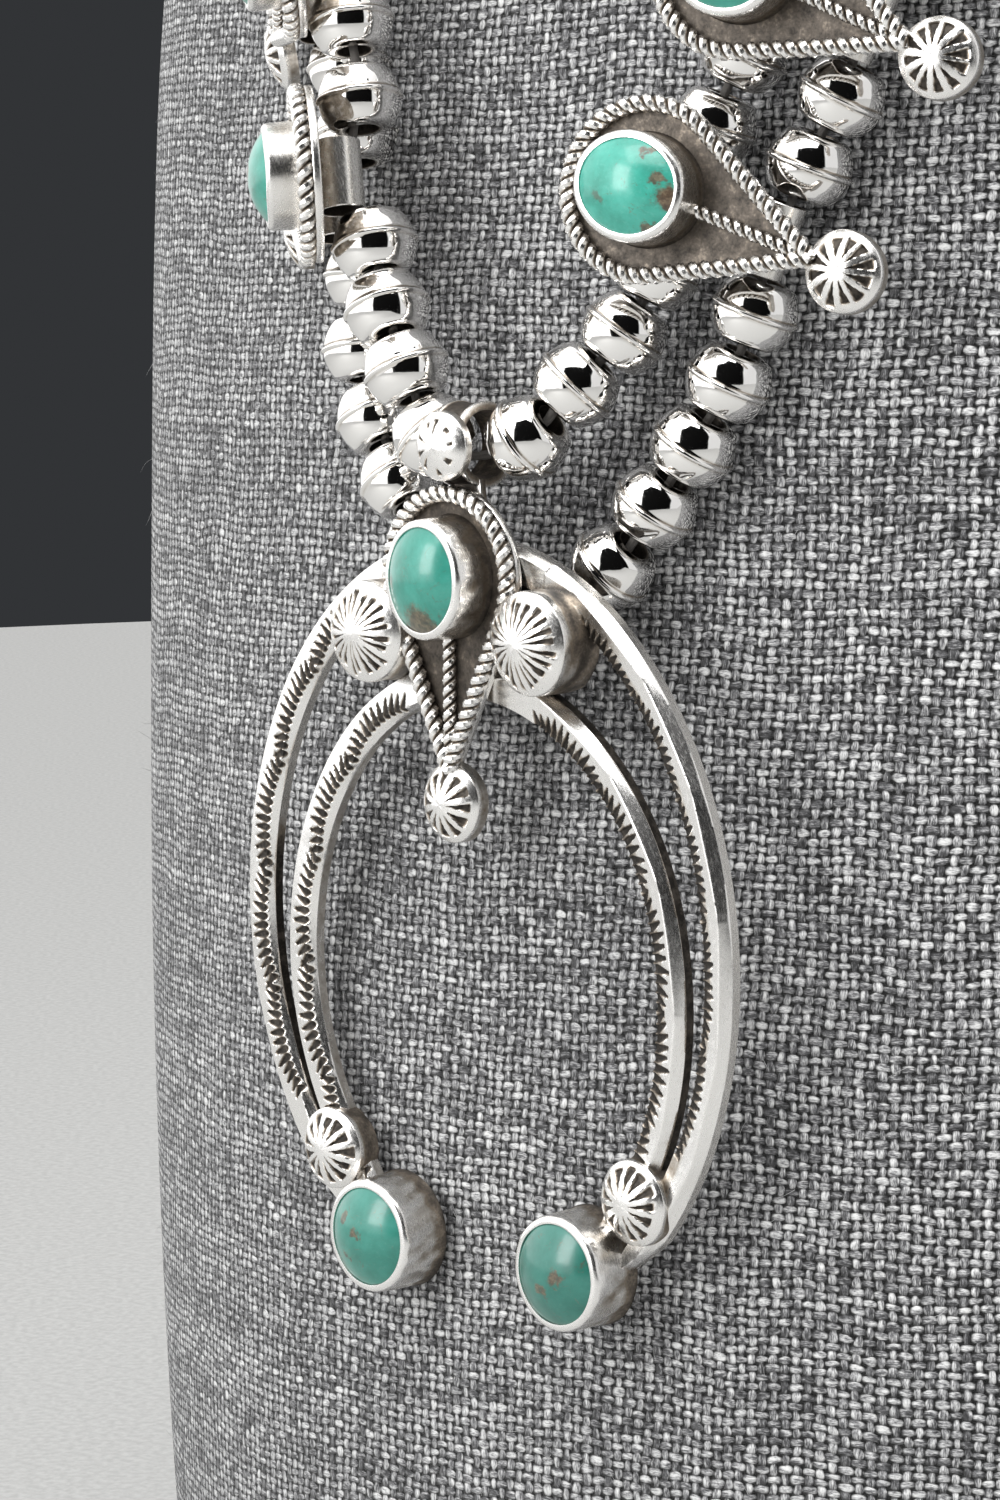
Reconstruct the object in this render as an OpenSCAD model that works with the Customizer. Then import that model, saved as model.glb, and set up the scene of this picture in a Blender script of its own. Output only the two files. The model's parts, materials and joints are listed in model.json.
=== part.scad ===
// Squash blossom necklace with two bead strands, ten blossoms and a double crescent naja, on a neck bust

/* [Bust] */
// Height from the base to the top of the neck
bust_h = 358; // [320:1:400]
// Width across the widest part of the chest
bust_w = 200; // [185:1:215]
// Depth from the front of the chest to the back
bust_d = 120; // [100:1:140]

/* [Beads] */
// Diameter of a round bead
bead_d = 8.8; // [7.5:0.1:9.4]
// Length of a bead along its hole
bead_len = 6.7; // [6.4:0.1:6.9]
// Diameter of the hole through a bead
bead_hole_d = 3.5; // [3.3:0.1:3.8]
// Width of the raised seam round the middle of a bead
seam_w = 0.5; // [0.3:0.1:1]
// Height of that seam above the round of the bead
seam_h = 0.25; // [0.1:0.05:0.5]
// Space between the ends of two beads, which lets the strand bend
bead_gap = 0.45; // [0.3:0.05:0.8]
// Diameter of the thread through the beads
thread_d = 1.1; // [0.8:0.1:1.2]
// Clearance between the beads and the cloth of the bust
rest_gap = 0.5; // [0.3:0.1:1]

/* [Blossoms] */
// Beads between two blossoms on either strand
beads_between = 2; // [1:1:3]
// Distance between the two tubes behind a blossom
tube_spacing = 11.5; // [10.5:0.1:13]
// Outer diameter of a tube
tube_d = 4.9; // [4.7:0.1:5]
// Wall of a tube
tube_wall = 0.3; // [0.25:0.05:0.35]
// Length of a tube along its strand
tube_len = 7.4; // [6.8:0.1:8]
// Width of the round end of the plate
head_w = 19; // [18:0.1:21]
// Distance from the stone's centre to the centre of the button at the tip
tip_reach = 23.3; // [21:0.1:26]
// Thickness of the plate
plate_t = 0.9; // [0.7:0.1:1.5]
// Thickness of the twisted wire round the plate
border_wire_d = 1.9; // [1.4:0.1:2.2]
// Thickness of the twisted wire from the bezel to the tip
mid_wire_d = 1.5; // [1.1:0.1:1.8]
// Diameter of the button at the tip
button_d = 8.2; // [7:0.1:9]
// Height of that button's dome above its rim
button_dome = 1.7; // [1:0.1:2.5]

/* [Stones] */
// Width of a blossom's oval stone
stone_w = 9.6; // [8.5:0.1:10.2]
// Length of a blossom's oval stone
stone_l = 11; // [10:0.1:11.6]
// Height of the bezel wall round the stone
bezel_h = 4.4; // [3.4:0.1:5]
// Thickness of the bezel wall
bezel_wall = 0.6; // [0.4:0.1:0.9]
// Height of the stone's dome above its bezel
stone_dome = 2; // [1:0.1:3]
// Clearance between a stone and its bezel
stone_gap = 0.12; // [0.08:0.02:0.2]

/* [Naja] */
// Height of the naja's centre above the base, as a share of the bust's height
naja_share = 0.3296; // [0.31:0.0001:0.35]
// Width of the naja over its outer crescent
naja_w = 70.4; // [67:0.1:74]
// Height from the naja's widest part to the top of its outer crescent
naja_rise = 40.9; // [38:0.1:44]
// Width of the outer crescent's bar
outer_bar_w = 3.2; // [2.8:0.1:3.8]
// Width of the inner crescent's bar
inner_bar_w = 3.3; // [2.8:0.1:3.8]
// Thickness of a bar at its low edge
bar_edge_t = 1; // [0.7:0.1:1.4]
// Thickness of a bar at its ridge
bar_ridge_t = 2.1; // [1.6:0.1:2.6]
// Height from the naja's widest part to the top of its inner crescent
inner_rise = 27.9; // [27:0.1:29]
// Distance that the inner crescent's centre lies below the outer one's
inner_drop = 4.7; // [3:0.1:6]
// Space between the two crescents at the widest part
bar_gap = 3.1; // [2.4:0.1:3.6]
// Angle the naja is turned to the wearer's right
naja_turn = -5; // [-8:0.5:0]
// Diameter of the round stone at each end
end_stone_d = 10.6; // [9:0.1:12]
// Height of the bezel round each end stone
end_bezel_h = 5.4; // [4:0.1:6]
// Diameter of the button above each end stone
end_button_d = 8.8; // [7.5:0.1:10]
// Diameter of the two large buttons beside the centre stone
big_button_d = 10.6; // [9.5:0.1:12]
// Height of the wall under a large button's dome
big_button_h = 4; // [3:0.1:5]
// Height of a large button's dome
big_button_dome = 2; // [1.2:0.1:3]
// Diameter of the bail's loop
bail_d = 8.8; // [8.6:0.1:9.2]
// Width of the bail's strap
bail_w = 4.4; // [4:0.1:4.6]
// Thickness of the bail's strap
bail_t = 0.9; // [0.7:0.1:1.2]

/* [Clasp] */
// Length of the clasp along the strands
clasp_l = 12; // [10:0.5:16]
// Diameter of the clasp's two barrels
clasp_barrel_d = 5.6; // [5:0.1:7]

/* [Hidden] */

LEFT = -1;
RIGHT = 1;
SILVER = "#c9c6c0";
DARK_SILVER = "#8d8880";
TURQUOISE = "#3fa493";
LINEN = "#8b8b8b";

// Blossoms on each side of the naja, one node each
blossom_count = 5;

round_sides = 48;
bead_sides = 32;
thread_sides = 6;
bust_sides = 48;
bust_rings = 40;
bar_steps = 56;
outline_steps = 36;
stone_sides = 24;
dome_steps = 4;
tiny = 0.01;

// Thickness of the floor under a stone
bezel_floor = 0.8;

// Sections of the bust, from the base up: every length is a share of the bust's height, width or depth
// height, half width, front, back, squareness
bust_sections = [
  [0.000, 0.434, 0.496, 0.417, 2.08],
  [0.106, 0.455, 0.500, 0.450, 2.08],
  [0.237, 0.472, 0.484, 0.475, 2.08],
  [0.330, 0.481, 0.459, 0.483, 2.08],
  [0.436, 0.491, 0.417, 0.492, 2.08],
  [0.567, 0.500, 0.363, 0.500, 2.08],
  [0.659, 0.494, 0.317, 0.500, 2.08],
  [0.732, 0.462, 0.258, 0.492, 2.08],
  [0.782, 0.402, 0.208, 0.483, 2.06],
  [0.821, 0.328, 0.158, 0.475, 2.04],
  [0.852, 0.280, 0.120, 0.475, 2],
  [0.888, 0.257, 0.108, 0.467, 2],
  [0.950, 0.250, 0.108, 0.460, 2],
  [0.985, 0.245, 0.105, 0.452, 2],
  [1.000, 0.228, 0.090, 0.440, 2]
];
COL_W = 1;
COL_FRONT = 2;
COL_BACK = 3;
COL_N = 4;

naja_z = naja_share * bust_h;

// Routes of the outer strand up each side from the naja, chosen by hand
// angle round the bust from its front, height as a share of the height of the bust they were chosen on
outer_route_right = [
  [5.2, 0.428], [7, 0.434], [9.4, 0.45], [11.7, 0.467], [13.9, 0.486], [15.3, 0.505],
  [16.9, 0.525], [18.4, 0.548], [20.6, 0.57], [24.4, 0.61], [30.4, 0.659], [42.4, 0.732],
  [57, 0.777], [73, 0.806], [92, 0.823], [112, 0.834], [135, 0.84], [158, 0.843], [180, 0.844]
];
outer_route_left = [
  [5.2, 0.428], [6.7, 0.441], [8.7, 0.456], [10.9, 0.473], [12.5, 0.493], [12.7, 0.513],
  [13.1, 0.533], [14.2, 0.554], [15.4, 0.577], [17.2, 0.602], [23.6, 0.645], [38, 0.72],
  [57, 0.777], [73, 0.806], [92, 0.823], [112, 0.834], [135, 0.84], [158, 0.843], [180, 0.844]
];
route_bust_h = 358;
route_naja_z = 118;
// Share up to which a strand keeps its height above the naja, and share from which it follows the bust's
hangs_to = 0.62;
worn_from = 0.82;
// Starts of the inner strand on each side, from the bail to its third bead
// across, forward of the naja's back, above the naja's centre
inner_start_right = [[3.1, -0.4, 49.8], [6.7, -0.8, 51.3], [10.9, -3, 56.2], [15.1, -6.1, 61.6]];
inner_start_left = [[3, -0.6, 49.3], [6.5, -0.7, 51.8], [9.2, -0.2, 58], [12.7, -1.3, 64.4]];
// Twist of the pair of strands, and so of the blossoms, away from the bust
// distance along the outer strand, right side, left side
twist_table = [
  [0, 4, 34], [42, 4, 39], [66, 4, 38], [89, 5, 31], [112, 6, 22], [135, 6, 12], [165, 0, 0], [600, 0, 0]
];

bead_pitch = bead_len + bead_gap;
tube_pitch = bead_len / 2 + bead_gap + tube_len / 2;
strand_lift = bead_d / 2 + seam_h + rest_gap;
spare = 0.8;
blossom_pitch = 2 * tube_pitch + (beads_between - 1) * bead_pitch + spare;
plate_lift = bead_d / 2 + seam_h + 0.65;
tube_axis = tube_d / 2 - 0.15;
thread_slack = 0.1;
thread_low = tube_axis + tube_d / 2 - tube_wall - thread_d / 2 - thread_slack;
stone_to_tube = 1.5;
head_r = head_w / 2 - border_wire_d / 2;
wire_tip = tip_reach - button_d / 2 + 0.6;
button_t = 0.5;

naja_y = -bust_front(naja_z) - 5.4;
beads_before = 5;
start_spare_right = 1.9;
start_spare_left = 3.5;
first_spare = 0.35;
squeeze = 0.12;

function clamp01(t) = max(0, min(1, t));
function unit(v) = v / norm(v);
function mix(a, b, t) = a + (b - a) * t;
function mirror_x(p, side) = [side * p[0], p[1], p[2]];
function slope(tab, col, i) =
  let(a = max(0, i - 1), b = min(len(tab) - 1, i + 1))
  (tab[b][col] - tab[a][col]) / (tab[b][0] - tab[a][0]);
function segment_of(tab, t, i = 0) = i >= len(tab) - 2 || t < tab[i + 1][0] ? i : segment_of(tab, t, i + 1);
// Smooth curve through a table's column at t, where the first column rises
function smooth_at(tab, col, t) =
  let(
    i = segment_of(tab, t),
    h = tab[i + 1][0] - tab[i][0],
    u = clamp01((t - tab[i][0]) / h),
    a = tab[i][col],
    b = tab[i + 1][col],
    ma = slope(tab, col, i) * h,
    mb = slope(tab, col, i + 1) * h
  )
  a * (1 + 2 * u) * (1 - u) * (1 - u) + ma * u * (1 - u) * (1 - u)
  + b * u * u * (3 - 2 * u) + mb * u * u * (u - 1);

function bust_front(z) = bust_d * smooth_at(bust_sections, COL_FRONT, z / bust_h);
function bust_row(z) =
  [for (c = [COL_W, COL_FRONT, COL_BACK, COL_N]) smooth_at(bust_sections, c, z / bust_h)];
function signed_power(v, p) = sign(v) * pow(abs(v), p);
// Point of the bust's surface at an angle round it from the front, and a height
function bust_point(a, z) =
  let(
    r = bust_row(z),
    half_d = bust_d * (r[1] + r[2]) / 2,
    mid_y = bust_d * (r[2] - r[1]) / 2
  )
  [
    bust_w * r[0] * signed_power(sin(a), 2 / r[3]),
    mid_y - half_d * signed_power(cos(a), 2 / r[3]),
    z
  ];
function bust_normal(a, z) =
  let(
    u = bust_point(a + 0.5, z) - bust_point(a - 0.5, z),
    v = bust_point(a, z + 0.5) - bust_point(a, z - 0.5)
  )
  unit(cross(u, v));
// Moves a point that lies too near the bust straight out until it is clear of it
function clear_of_bust(p, lift) =
  let(
    r = bust_row(p[2]),
    half_w = bust_w * r[0],
    half_d = bust_d * (r[1] + r[2]) / 2,
    mid_y = bust_d * (r[2] - r[1]) / 2,
    a = atan2(p[0] / half_w, -(p[1] - mid_y) / half_d),
    n = bust_normal(a, p[2]),
    out = lift / sqrt(1 - n[2] * n[2]),
    f = pow(pow(abs(p[0]) / (half_w + out), r[3]) + pow(abs(p[1] - mid_y) / (half_d + out), r[3]), -1 / r[3])
  )
  f > 1 ? [p[0] * f, mid_y + (p[1] - mid_y) * f, p[2]] : p;

// Dense points of a curve through the rows of a list
route_steps = 6;
function curve_at(rows, i, u) =
  let(
    last = len(rows) - 1,
    p0 = rows[max(0, i - 1)],
    p1 = rows[i],
    p2 = rows[min(last, i + 1)],
    p3 = rows[min(last, i + 2)]
  )
  0.5 * (2 * p1 + (p2 - p0) * u + (2 * p0 - 5 * p1 + 4 * p2 - p3) * u * u
    + (3 * p1 - p0 - 3 * p2 + p3) * u * u * u);
function curve_points(rows, steps) =
  [
    for (i = [0:len(rows) - 2], k = [0:steps - 1]) curve_at(rows, i, k / steps),
    rows[len(rows) - 1]
  ];
// Rows of distance along a list of points, then x, y and z
function measured(points) =
  [for (i = 0, s = 0; i < len(points);
        s = s + (i < len(points) - 1 ? norm(points[i + 1] - points[i]) : 0), i = i + 1)
     concat([s], points[i])];
function at(path, s) = [for (c = [1:3]) lookup(s, [for (r = path) [r[0], r[c]]])];
look = 3.4;
function heading(path, s) = unit(at(path, min(s + look, length_of(path))) - at(path, max(s - look, 0)));
function length_of(path) = path[len(path) - 1][0];

function route_z(share) =
  let(
    hung = naja_z + share * route_bust_h - route_naja_z,
    u = clamp01((share - hangs_to) / (worn_from - hangs_to))
  )
  mix(hung, share * bust_h, u * u * (3 - 2 * u));
// Rows of angle and height
function outer_angles(side) =
  let(route = side == RIGHT ? outer_route_right : outer_route_left)
  [for (r = curve_points(route, route_steps)) [r[0], route_z(r[1])]];
function outer_path(side) = measured([for (r = outer_angles(side))
  bust_point(side * r[0], r[1]) + strand_lift * bust_normal(side * r[0], r[1])]);
outer_left = outer_path(LEFT);
outer_right = outer_path(RIGHT);
function outer_normals(side, path) =
  let(angles = outer_angles(side))
  [for (i = [0:len(angles) - 1])
    concat([path[i][0]], bust_normal(side * angles[i][0], angles[i][1]))];
normals_left = outer_normals(LEFT, outer_left);
normals_right = outer_normals(RIGHT, outer_right);
function outer_of(side) = side == RIGHT ? outer_right : outer_left;

function twist_at(s, side) = lookup(s, [for (r = twist_table) [r[0], side == RIGHT ? r[1] : r[2]]]);
// Frame of the pair of strands at a distance along the outer one: towards the outer strand, along, outwards
function pair_frame(s, side) =
  let(
    t = heading(outer_of(side), s),
    n = unit(at(side == RIGHT ? normals_right : normals_left, s)),
    across = cross(t, n),
    up = unit(across) * (across[2] < 0 ? -1 : 1),
    w = twist_at(s, side)
  )
  [-cos(w) * up - sin(w) * n, t, cos(w) * n - sin(w) * up];
function outer_point(s, side) = at(outer_of(side), s);
function inner_point(s, side) =
  clear_of_bust(outer_point(s, side) - tube_spacing * pair_frame(s, side)[0], strand_lift);

function blossom_at(k, side) =
  (beads_before - 0.5) * bead_pitch + tube_pitch + (side == RIGHT ? start_spare_right : start_spare_left)
  + (k - 1) * blossom_pitch;
// Point given in a blossom's own frame: towards its tip, along the strands and outwards from the plate's back
function blossom_point(k, side, p) =
  let(s = blossom_at(k, side), f = pair_frame(s, side))
  outer_point(s, side) + (p[0] - stone_to_tube - tube_spacing) * f[0] + side * p[1] * f[1]
  + (p[2] + plate_lift) * f[2];

// Inner strand: from the bail to the first blossom, then beside the outer strand
inner_steps = 50;
function strand_end(side) = length_of(outer_of(side));
function naja_place(p) =
  [
    p[0] * cos(naja_turn) + p[1] * sin(naja_turn),
    naja_y + p[0] * sin(naja_turn) - p[1] * cos(naja_turn),
    naja_z + p[2]
  ];
function inner_path(side) =
  let(
    rows = side == RIGHT ? inner_start_right : inner_start_left,
    start = [for (p = rows) [side * p[0], naja_y - p[1], naja_z + p[2]]],
    from = blossom_at(1, side) - tube_len / 2,
    rest = [for (i = [0:inner_steps]) inner_point(mix(from, strand_end(side), i / inner_steps), side)]
  )
  measured(concat(
    curve_points(concat(start, [rest[0], rest[1]]), route_steps),
    [for (i = [2:inner_steps]) rest[i]]
  ));
inner_left = inner_path(LEFT);
inner_right = inner_path(RIGHT);
function row_distance(r, p) = norm([r[1], r[2], r[3]] - p);
function nearest_s(path, p, i = 0, best = 0) =
  i >= len(path) ? path[best][0]
  : nearest_s(path, p, i + 1, row_distance(path[i], p) < row_distance(path[best], p) ? i : best);
function refined_s(path, p) =
  let(s = nearest_s(path, p))
  s + (p - at(path, s)) * heading(path, s);

function path_of(strand, side) =
  strand == "outer" ? outer_of(side) : side == LEFT ? inner_left : inner_right;
// Distances along a strand to the middles of its tubes
function tube_stations(strand, side) =
  [for (k = [1:blossom_count])
     let(s = blossom_at(k, side))
     strand == "outer" ? s : refined_s(path_of(strand, side), inner_point(s, side))];
function spread(from, to, count) = [for (i = [0:count - 1]) from + (i + 0.5) * (to - from) / count];
// Distances along a strand to the middles of its beads: up to the first tube, between tubes, and to the clasp
function bead_stations(strand, side) =
  let(
    path = path_of(strand, side),
    tubes = tube_stations(strand, side),
    half = tube_len / 2 + bead_gap / 2,
    low = floor((tubes[0] - half) / bead_pitch + squeeze),
    low_pitch = (tubes[0] - half - first_spare) / low,
    finish = length_of(path) - clasp_l / 2 - bead_gap / 2,
    top = floor((finish - tubes[blossom_count - 1] - half) / bead_pitch)
  )
  concat(
    [for (i = [0:low - 1]) (i + 0.5) * low_pitch + (i == 0 ? 0 : first_spare)],
    [for (k = [0:blossom_count - 2]) each spread(tubes[k] + half, tubes[k + 1] - half, beads_between)],
    spread(tubes[blossom_count - 1] + half, finish, top)
  );

end_rim = 0.15;
end_slope = 2;
module along(dir) {
  rotate([0, acos(dir[2]), atan2(dir[1], dir[0])]) children();
}

// Round bead with a raised seam, its ends turned down so that the strand can bend
module bead() {
  end_r = bead_hole_d / 2 + end_rim;
  half = bead_len / 2;
  difference() {
    intersection() {
      union() {
        sphere(d = bead_d, $fn = bead_sides);
        cylinder(d = bead_d + 2 * seam_h, h = seam_w, center = true, $fn = bead_sides);
      }
      union() for (flip = [0, 180])
        rotate([flip, 0, 0]) translate([0, 0, -tiny])
        cylinder(r1 = end_r + end_slope * half, r2 = end_r, h = half + tiny, $fn = bead_sides);
    }
    cylinder(d = bead_hole_d, h = 2 * bead_len, center = true, $fn = bead_sides);
  }
}

module bead_string(strand, side) {
  path = path_of(strand, side);
  color(SILVER)
  for (s = bead_stations(strand, side))
    translate(at(path, s)) along(heading(path, s)) bead();
}

module tube(len) {
  rotate([90, 0, 0])
  difference() {
    cylinder(d = tube_d, h = len, center = true, $fn = round_sides);
    cylinder(d = tube_d - 2 * tube_wall, h = 2 * len, center = true, $fn = round_sides);
  }
}

module dome(d, h) {
  r = (d * d / 4 + h * h) / (2 * h);
  intersection() {
    translate([0, 0, h - r]) sphere(r = r, $fn = 2 * round_sides);
    cylinder(d = d, h = h + 1, $fn = round_sides);
  }
}

// Domed button on a round wall
module button(d, wall_h, dome_h) {
  cylinder(d = d, h = wall_h, $fn = round_sides);
  translate([0, 0, wall_h - tiny]) dome(d - 2 * tiny, dome_h);
}

function oval(w, l, steps) =
  [for (i = [0:steps - 1]) [l / 2 * cos(i * 360 / steps), w / 2 * sin(i * 360 / steps)]];

// Wall of a bezel round an oval stone, before it is hollowed
module bezel(w, l, h) {
  outer = 2 * (bezel_wall + stone_gap);
  linear_extrude(h) polygon(oval(w + outer, l + outer, outline_steps));
}
// Hollow of a bezel above its floor
module bezel_hollow(w, l, h) {
  inner = 2 * stone_gap;
  translate([0, 0, bezel_floor]) linear_extrude(h) polygon(oval(w + inner, l + inner, outline_steps));
}

// Stone with a straight girdle and a low dome, its long side along x
module stone(w, l, h) {
  sweep = 2 * atan(2 * stone_dome / w);
  dome = [for (i = [0:dome_steps - 1]) sweep * (1 - i / dome_steps)];
  shares = concat([[1, bezel_floor + stone_gap]],
    [for (a = dome) [sin(a) / sin(sweep), h + stone_dome * (cos(a) - cos(sweep)) / (1 - cos(sweep))]],
    [[0.5 * sin(dome[dome_steps - 1]) / sin(sweep), h + 0.98 * stone_dome]]);
  sweep_rings([for (r = shares) [for (q = oval(w, l, stone_sides)) [r[0] * q[0], r[0] * q[1], r[1]]]]);
}

// Outline of the teardrop plate, grown by a distance outside the middle of its border wire
function teardrop(grow) =
  let(r = head_r + grow, reach = wire_tip + grow, a = acos(r / reach))
  concat(
    [for (i = [0:outline_steps]) let(t = a + i * (360 - 2 * a) / outline_steps) [r * cos(t), r * sin(t)]],
    [[reach, 0]]
  );

module border_wire() {
  a = acos(head_r / wire_tip);
  run = head_r * tan(a);
  rotate([0, 0, a]) rotate_extrude(angle = 360 - 2 * a, $fn = 2 * round_sides)
    translate([head_r, 0]) circle(d = border_wire_d, $fn = 24);
  for (side = [-1, 1])
    rotate([0, 0, side * a]) translate([head_r, 0, 0]) rotate([side * 90, 0, 0])
      cylinder(d = border_wire_d, h = run, $fn = 24);
}

// Plate, bezel, wires and button of a blossom, its back at height 0, its stone's centre at the origin
module blossom_face() {
  wire_start = stone_l / 2 + stone_gap + bezel_wall / 2;
  color(DARK_SILVER) linear_extrude(plate_t) polygon(teardrop(0.5));
  color(SILVER) {
    translate([0, 0, plate_t + border_wire_d / 2 - 0.2]) border_wire();
    translate([wire_start, 0, plate_t + mid_wire_d / 2 - 0.2]) rotate([0, 90, 0])
      cylinder(d = mid_wire_d, h = tip_reach - wire_start, $fn = 24);
    translate([0, 0, plate_t - tiny]) difference() {
      bezel(stone_w, stone_l, bezel_h);
      bezel_hollow(stone_w, stone_l, bezel_h);
    }
    translate([tip_reach, 0, 0]) button(button_d, plate_t + button_t, button_dome);
  }
}

module blossom_place(k, side) {
  f = pair_frame(blossom_at(k, side), side);
  p = blossom_point(k, side, [0, 0, 0]);
  y = side * f[1];
  multmatrix([
    [f[0][0], y[0], f[2][0], p[0]],
    [f[0][1], y[1], f[2][1], p[1]],
    [f[0][2], y[2], f[2][2], p[2]],
    [0, 0, 0, 1]
  ]) children();
}

module blossom(k, side) {
  blossom_place(k, side) {
    blossom_face();
    color(SILVER)
    for (x = [stone_to_tube, stone_to_tube + tube_spacing])
      translate([x, 0, -tube_axis]) tube(tube_len);
  }
}

module blossom_stone(k, side) {
  color(TURQUOISE) blossom_place(k, side) translate([0, 0, plate_t]) stone(stone_w, stone_l, bezel_h);
}

// Where a crescent's bar lies at an angle from its top: across, up and the outward direction
function crescent(a, half_w, rise, drop) =
  let(p = [half_w * sin(a), -drop + rise * cos(a)], n = unit([rise * sin(a), half_w * cos(a)]))
  [p, n];
scallop_turn = 17;
scallop_depth = 0.35;
end_taper = 9;
// Section of a bar at an angle from the top of its crescent: the stamped face rises from left to right
function bar_section(a, w, end_a) =
  let(
    lean = clamp01(0.5 + a / 24),
    scallop = scallop_depth * abs(sin(a * 180 / scallop_turn)),
    narrow = mix(0.45, 1, clamp01((end_a - abs(a)) / end_taper)),
    ridge = mix(0.14 + scallop / w, 0.82 - scallop / w, lean),
    low = bar_edge_t,
    high = 0.6 * bar_ridge_t
  )
  [
    [-w / 2 * narrow, 0], [w / 2 * narrow, 0], [w / 2 * narrow, mix(low, high, lean)],
    [(ridge - 0.5) * w * narrow, bar_ridge_t], [-w / 2 * narrow, mix(high, low, lean)]
  ];
module crescent_bar(half_w, rise, drop, w, end_a) {
  rings = [for (i = [0:bar_steps])
    let(a = mix(-end_a, end_a, i / bar_steps), c = crescent(a, half_w, rise, drop))
    [for (q = bar_section(a, w, end_a)) [c[0][0] + q[0] * c[1][0], c[0][1] + q[0] * c[1][1], q[1]]]];
  sweep_rings(rings);
}
// Closed solid through a list of rings with equally many points, each counter-clockwise about the way on
module sweep_rings(rings) {
  n = len(rings[0]);
  last = (len(rings) - 1) * n;
  polyhedron(
    points = [for (r = rings) each r],
    faces = concat(
      [for (i = [0:len(rings) - 2], j = [0:n - 1]) each [
        [i * n + j, (i + 1) * n + (j + 1) % n, i * n + (j + 1) % n],
        [i * n + j, (i + 1) * n + j, (i + 1) * n + (j + 1) % n]]],
      [[for (j = [0:n - 1]) j], [for (j = [n - 1:-1:0]) last + j]]
    ));
}

naja_plate_lift = 2;
naja_stone_up = 37;
center_shift = -0.7;
center_turn = 2;
end_stone_x = 14;
end_stone_up = -32.9;
end_button_x = 22.3;
end_button_up = -25;
big_button_x = 11.9;
big_button_up = 31;
bail_up = 50.4;
bail_out = 0.4;
bail_button_d = 8.2;
bail_button_sink = 0.9;
naja_tube_len = 13;
naja_tube_up = 34;
naja_tube_out = naja_plate_lift + 0.15 - tube_d / 2;
naja_button_top = big_button_h + 1;
outer_half = naja_w / 2 - outer_bar_w / 2;
inner_half = outer_half - outer_bar_w / 2 - bar_gap - inner_bar_w / 2;
outer_end = 144;
inner_end = 141;

module naja_frame() {
  translate([0, naja_y, naja_z]) rotate([90, 0, naja_turn]) children();
}
module naja_center() {
  translate([center_shift, naja_stone_up, naja_plate_lift]) rotate([0, 0, -90 - center_turn]) children();
}

module bail() {
  translate([0, bail_up, bail_out]) rotate([0, 90, 0])
  difference() {
    cylinder(d = bail_d, h = bail_w, center = true, $fn = round_sides);
    cylinder(d = bail_d - 2 * bail_t, h = 2 * bail_w, center = true, $fn = round_sides);
  }
  translate([0, bail_up, bail_out + bail_d / 2 - bail_button_sink]) button(bail_button_d, 0.9, button_dome);
  strap_from = naja_stone_up + head_w / 2 - 4;
  translate([-bail_w / 2, strap_from, naja_plate_lift - bail_t])
    cube([bail_w, bail_up - bail_d / 2 + bail_t - strap_from, bail_t + 0.1]);
}

module naja() {
  color(SILVER) naja_frame() difference() {
    union() {
      crescent_bar(outer_half, naja_rise - outer_bar_w / 2, 0, outer_bar_w, outer_end);
      crescent_bar(inner_half, inner_rise + inner_drop - inner_bar_w / 2, inner_drop, inner_bar_w, inner_end);
      naja_center() blossom_face();
      translate([0, naja_tube_up, naja_tube_out]) rotate([0, 0, 90]) tube(naja_tube_len);
      bail();
      for (side = [LEFT, RIGHT]) {
        translate([side * big_button_x, big_button_up, 0])
          button(big_button_d, naja_button_top, big_button_dome);
        translate([side * end_stone_x, end_stone_up, 0]) bezel(end_stone_d, end_stone_d, end_bezel_h);
        translate([side * end_button_x, end_button_up, 0])
          button(end_button_d, bar_ridge_t + button_t, button_dome);
      }
    }
    for (side = [LEFT, RIGHT])
      translate([side * end_stone_x, end_stone_up, 0]) bezel_hollow(end_stone_d, end_stone_d, end_bezel_h);
  }
}

module naja_stone_center() {
  color(TURQUOISE) naja_frame() naja_center() translate([0, 0, plate_t]) stone(stone_w, stone_l, bezel_h);
}
module naja_end_stone(side) {
  color(TURQUOISE) naja_frame() translate([side * end_stone_x, end_stone_up, 0])
    stone(end_stone_d, end_stone_d, end_bezel_h);
}

module bust() {
  rings = [for (i = [0:bust_rings]) let(z = bust_h * i / bust_rings)
    [for (j = [0:bust_sides - 1]) bust_point(j * 360 / bust_sides, z)]];
  color(LINEN) sweep_rings(rings);
}

// Points of the thread up one side: straight through each bead, and raised inside the tubes
function thread_side(strand, side) =
  let(
    path = path_of(strand, side),
    tubes = tube_stations(strand, side),
    marks = concat([-1], tubes, [length_of(path) + 1]),
    tube_reach = tube_len / 2 + thread_slack,
    tube_x = stone_to_tube + (strand == "outer" ? tube_spacing : 0),
    slack = bead_hole_d / 2 - thread_d / 2 - 3 * thread_slack,
    raise = [for (k = [0:blossom_count + 1])
      k == 0 || k > blossom_count ? [0, 0, 0] : slack * pair_frame(blossom_at(k, side), side)[2]]
  )
  [
    for (k = [0:blossom_count]) let(
      beads = [for (s = bead_stations(strand, side)) if (s > marks[k] && s < marks[k + 1]) s],
      last = len(beads) - 1
    ) each concat(
      [for (i = [0:last])
        let(p = at(path, beads[i]), reach = (bead_len / 2 + thread_slack) * heading(path, beads[i])) each [
          p - reach + (i == 0 ? raise[k] : [0, 0, 0]),
          p + reach + (i == last ? raise[k + 1] : [0, 0, 0])
        ]],
      k == blossom_count ? [at(path, length_of(path) - 0.5)] : [
        blossom_point(k + 1, side, [tube_x, -side * tube_reach, -thread_low]),
        blossom_point(k + 1, side, [tube_x, side * tube_reach, -thread_low])
      ])
  ];
function reversed(v) = [for (i = [len(v) - 1:-1:0]) v[i]];
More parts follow.
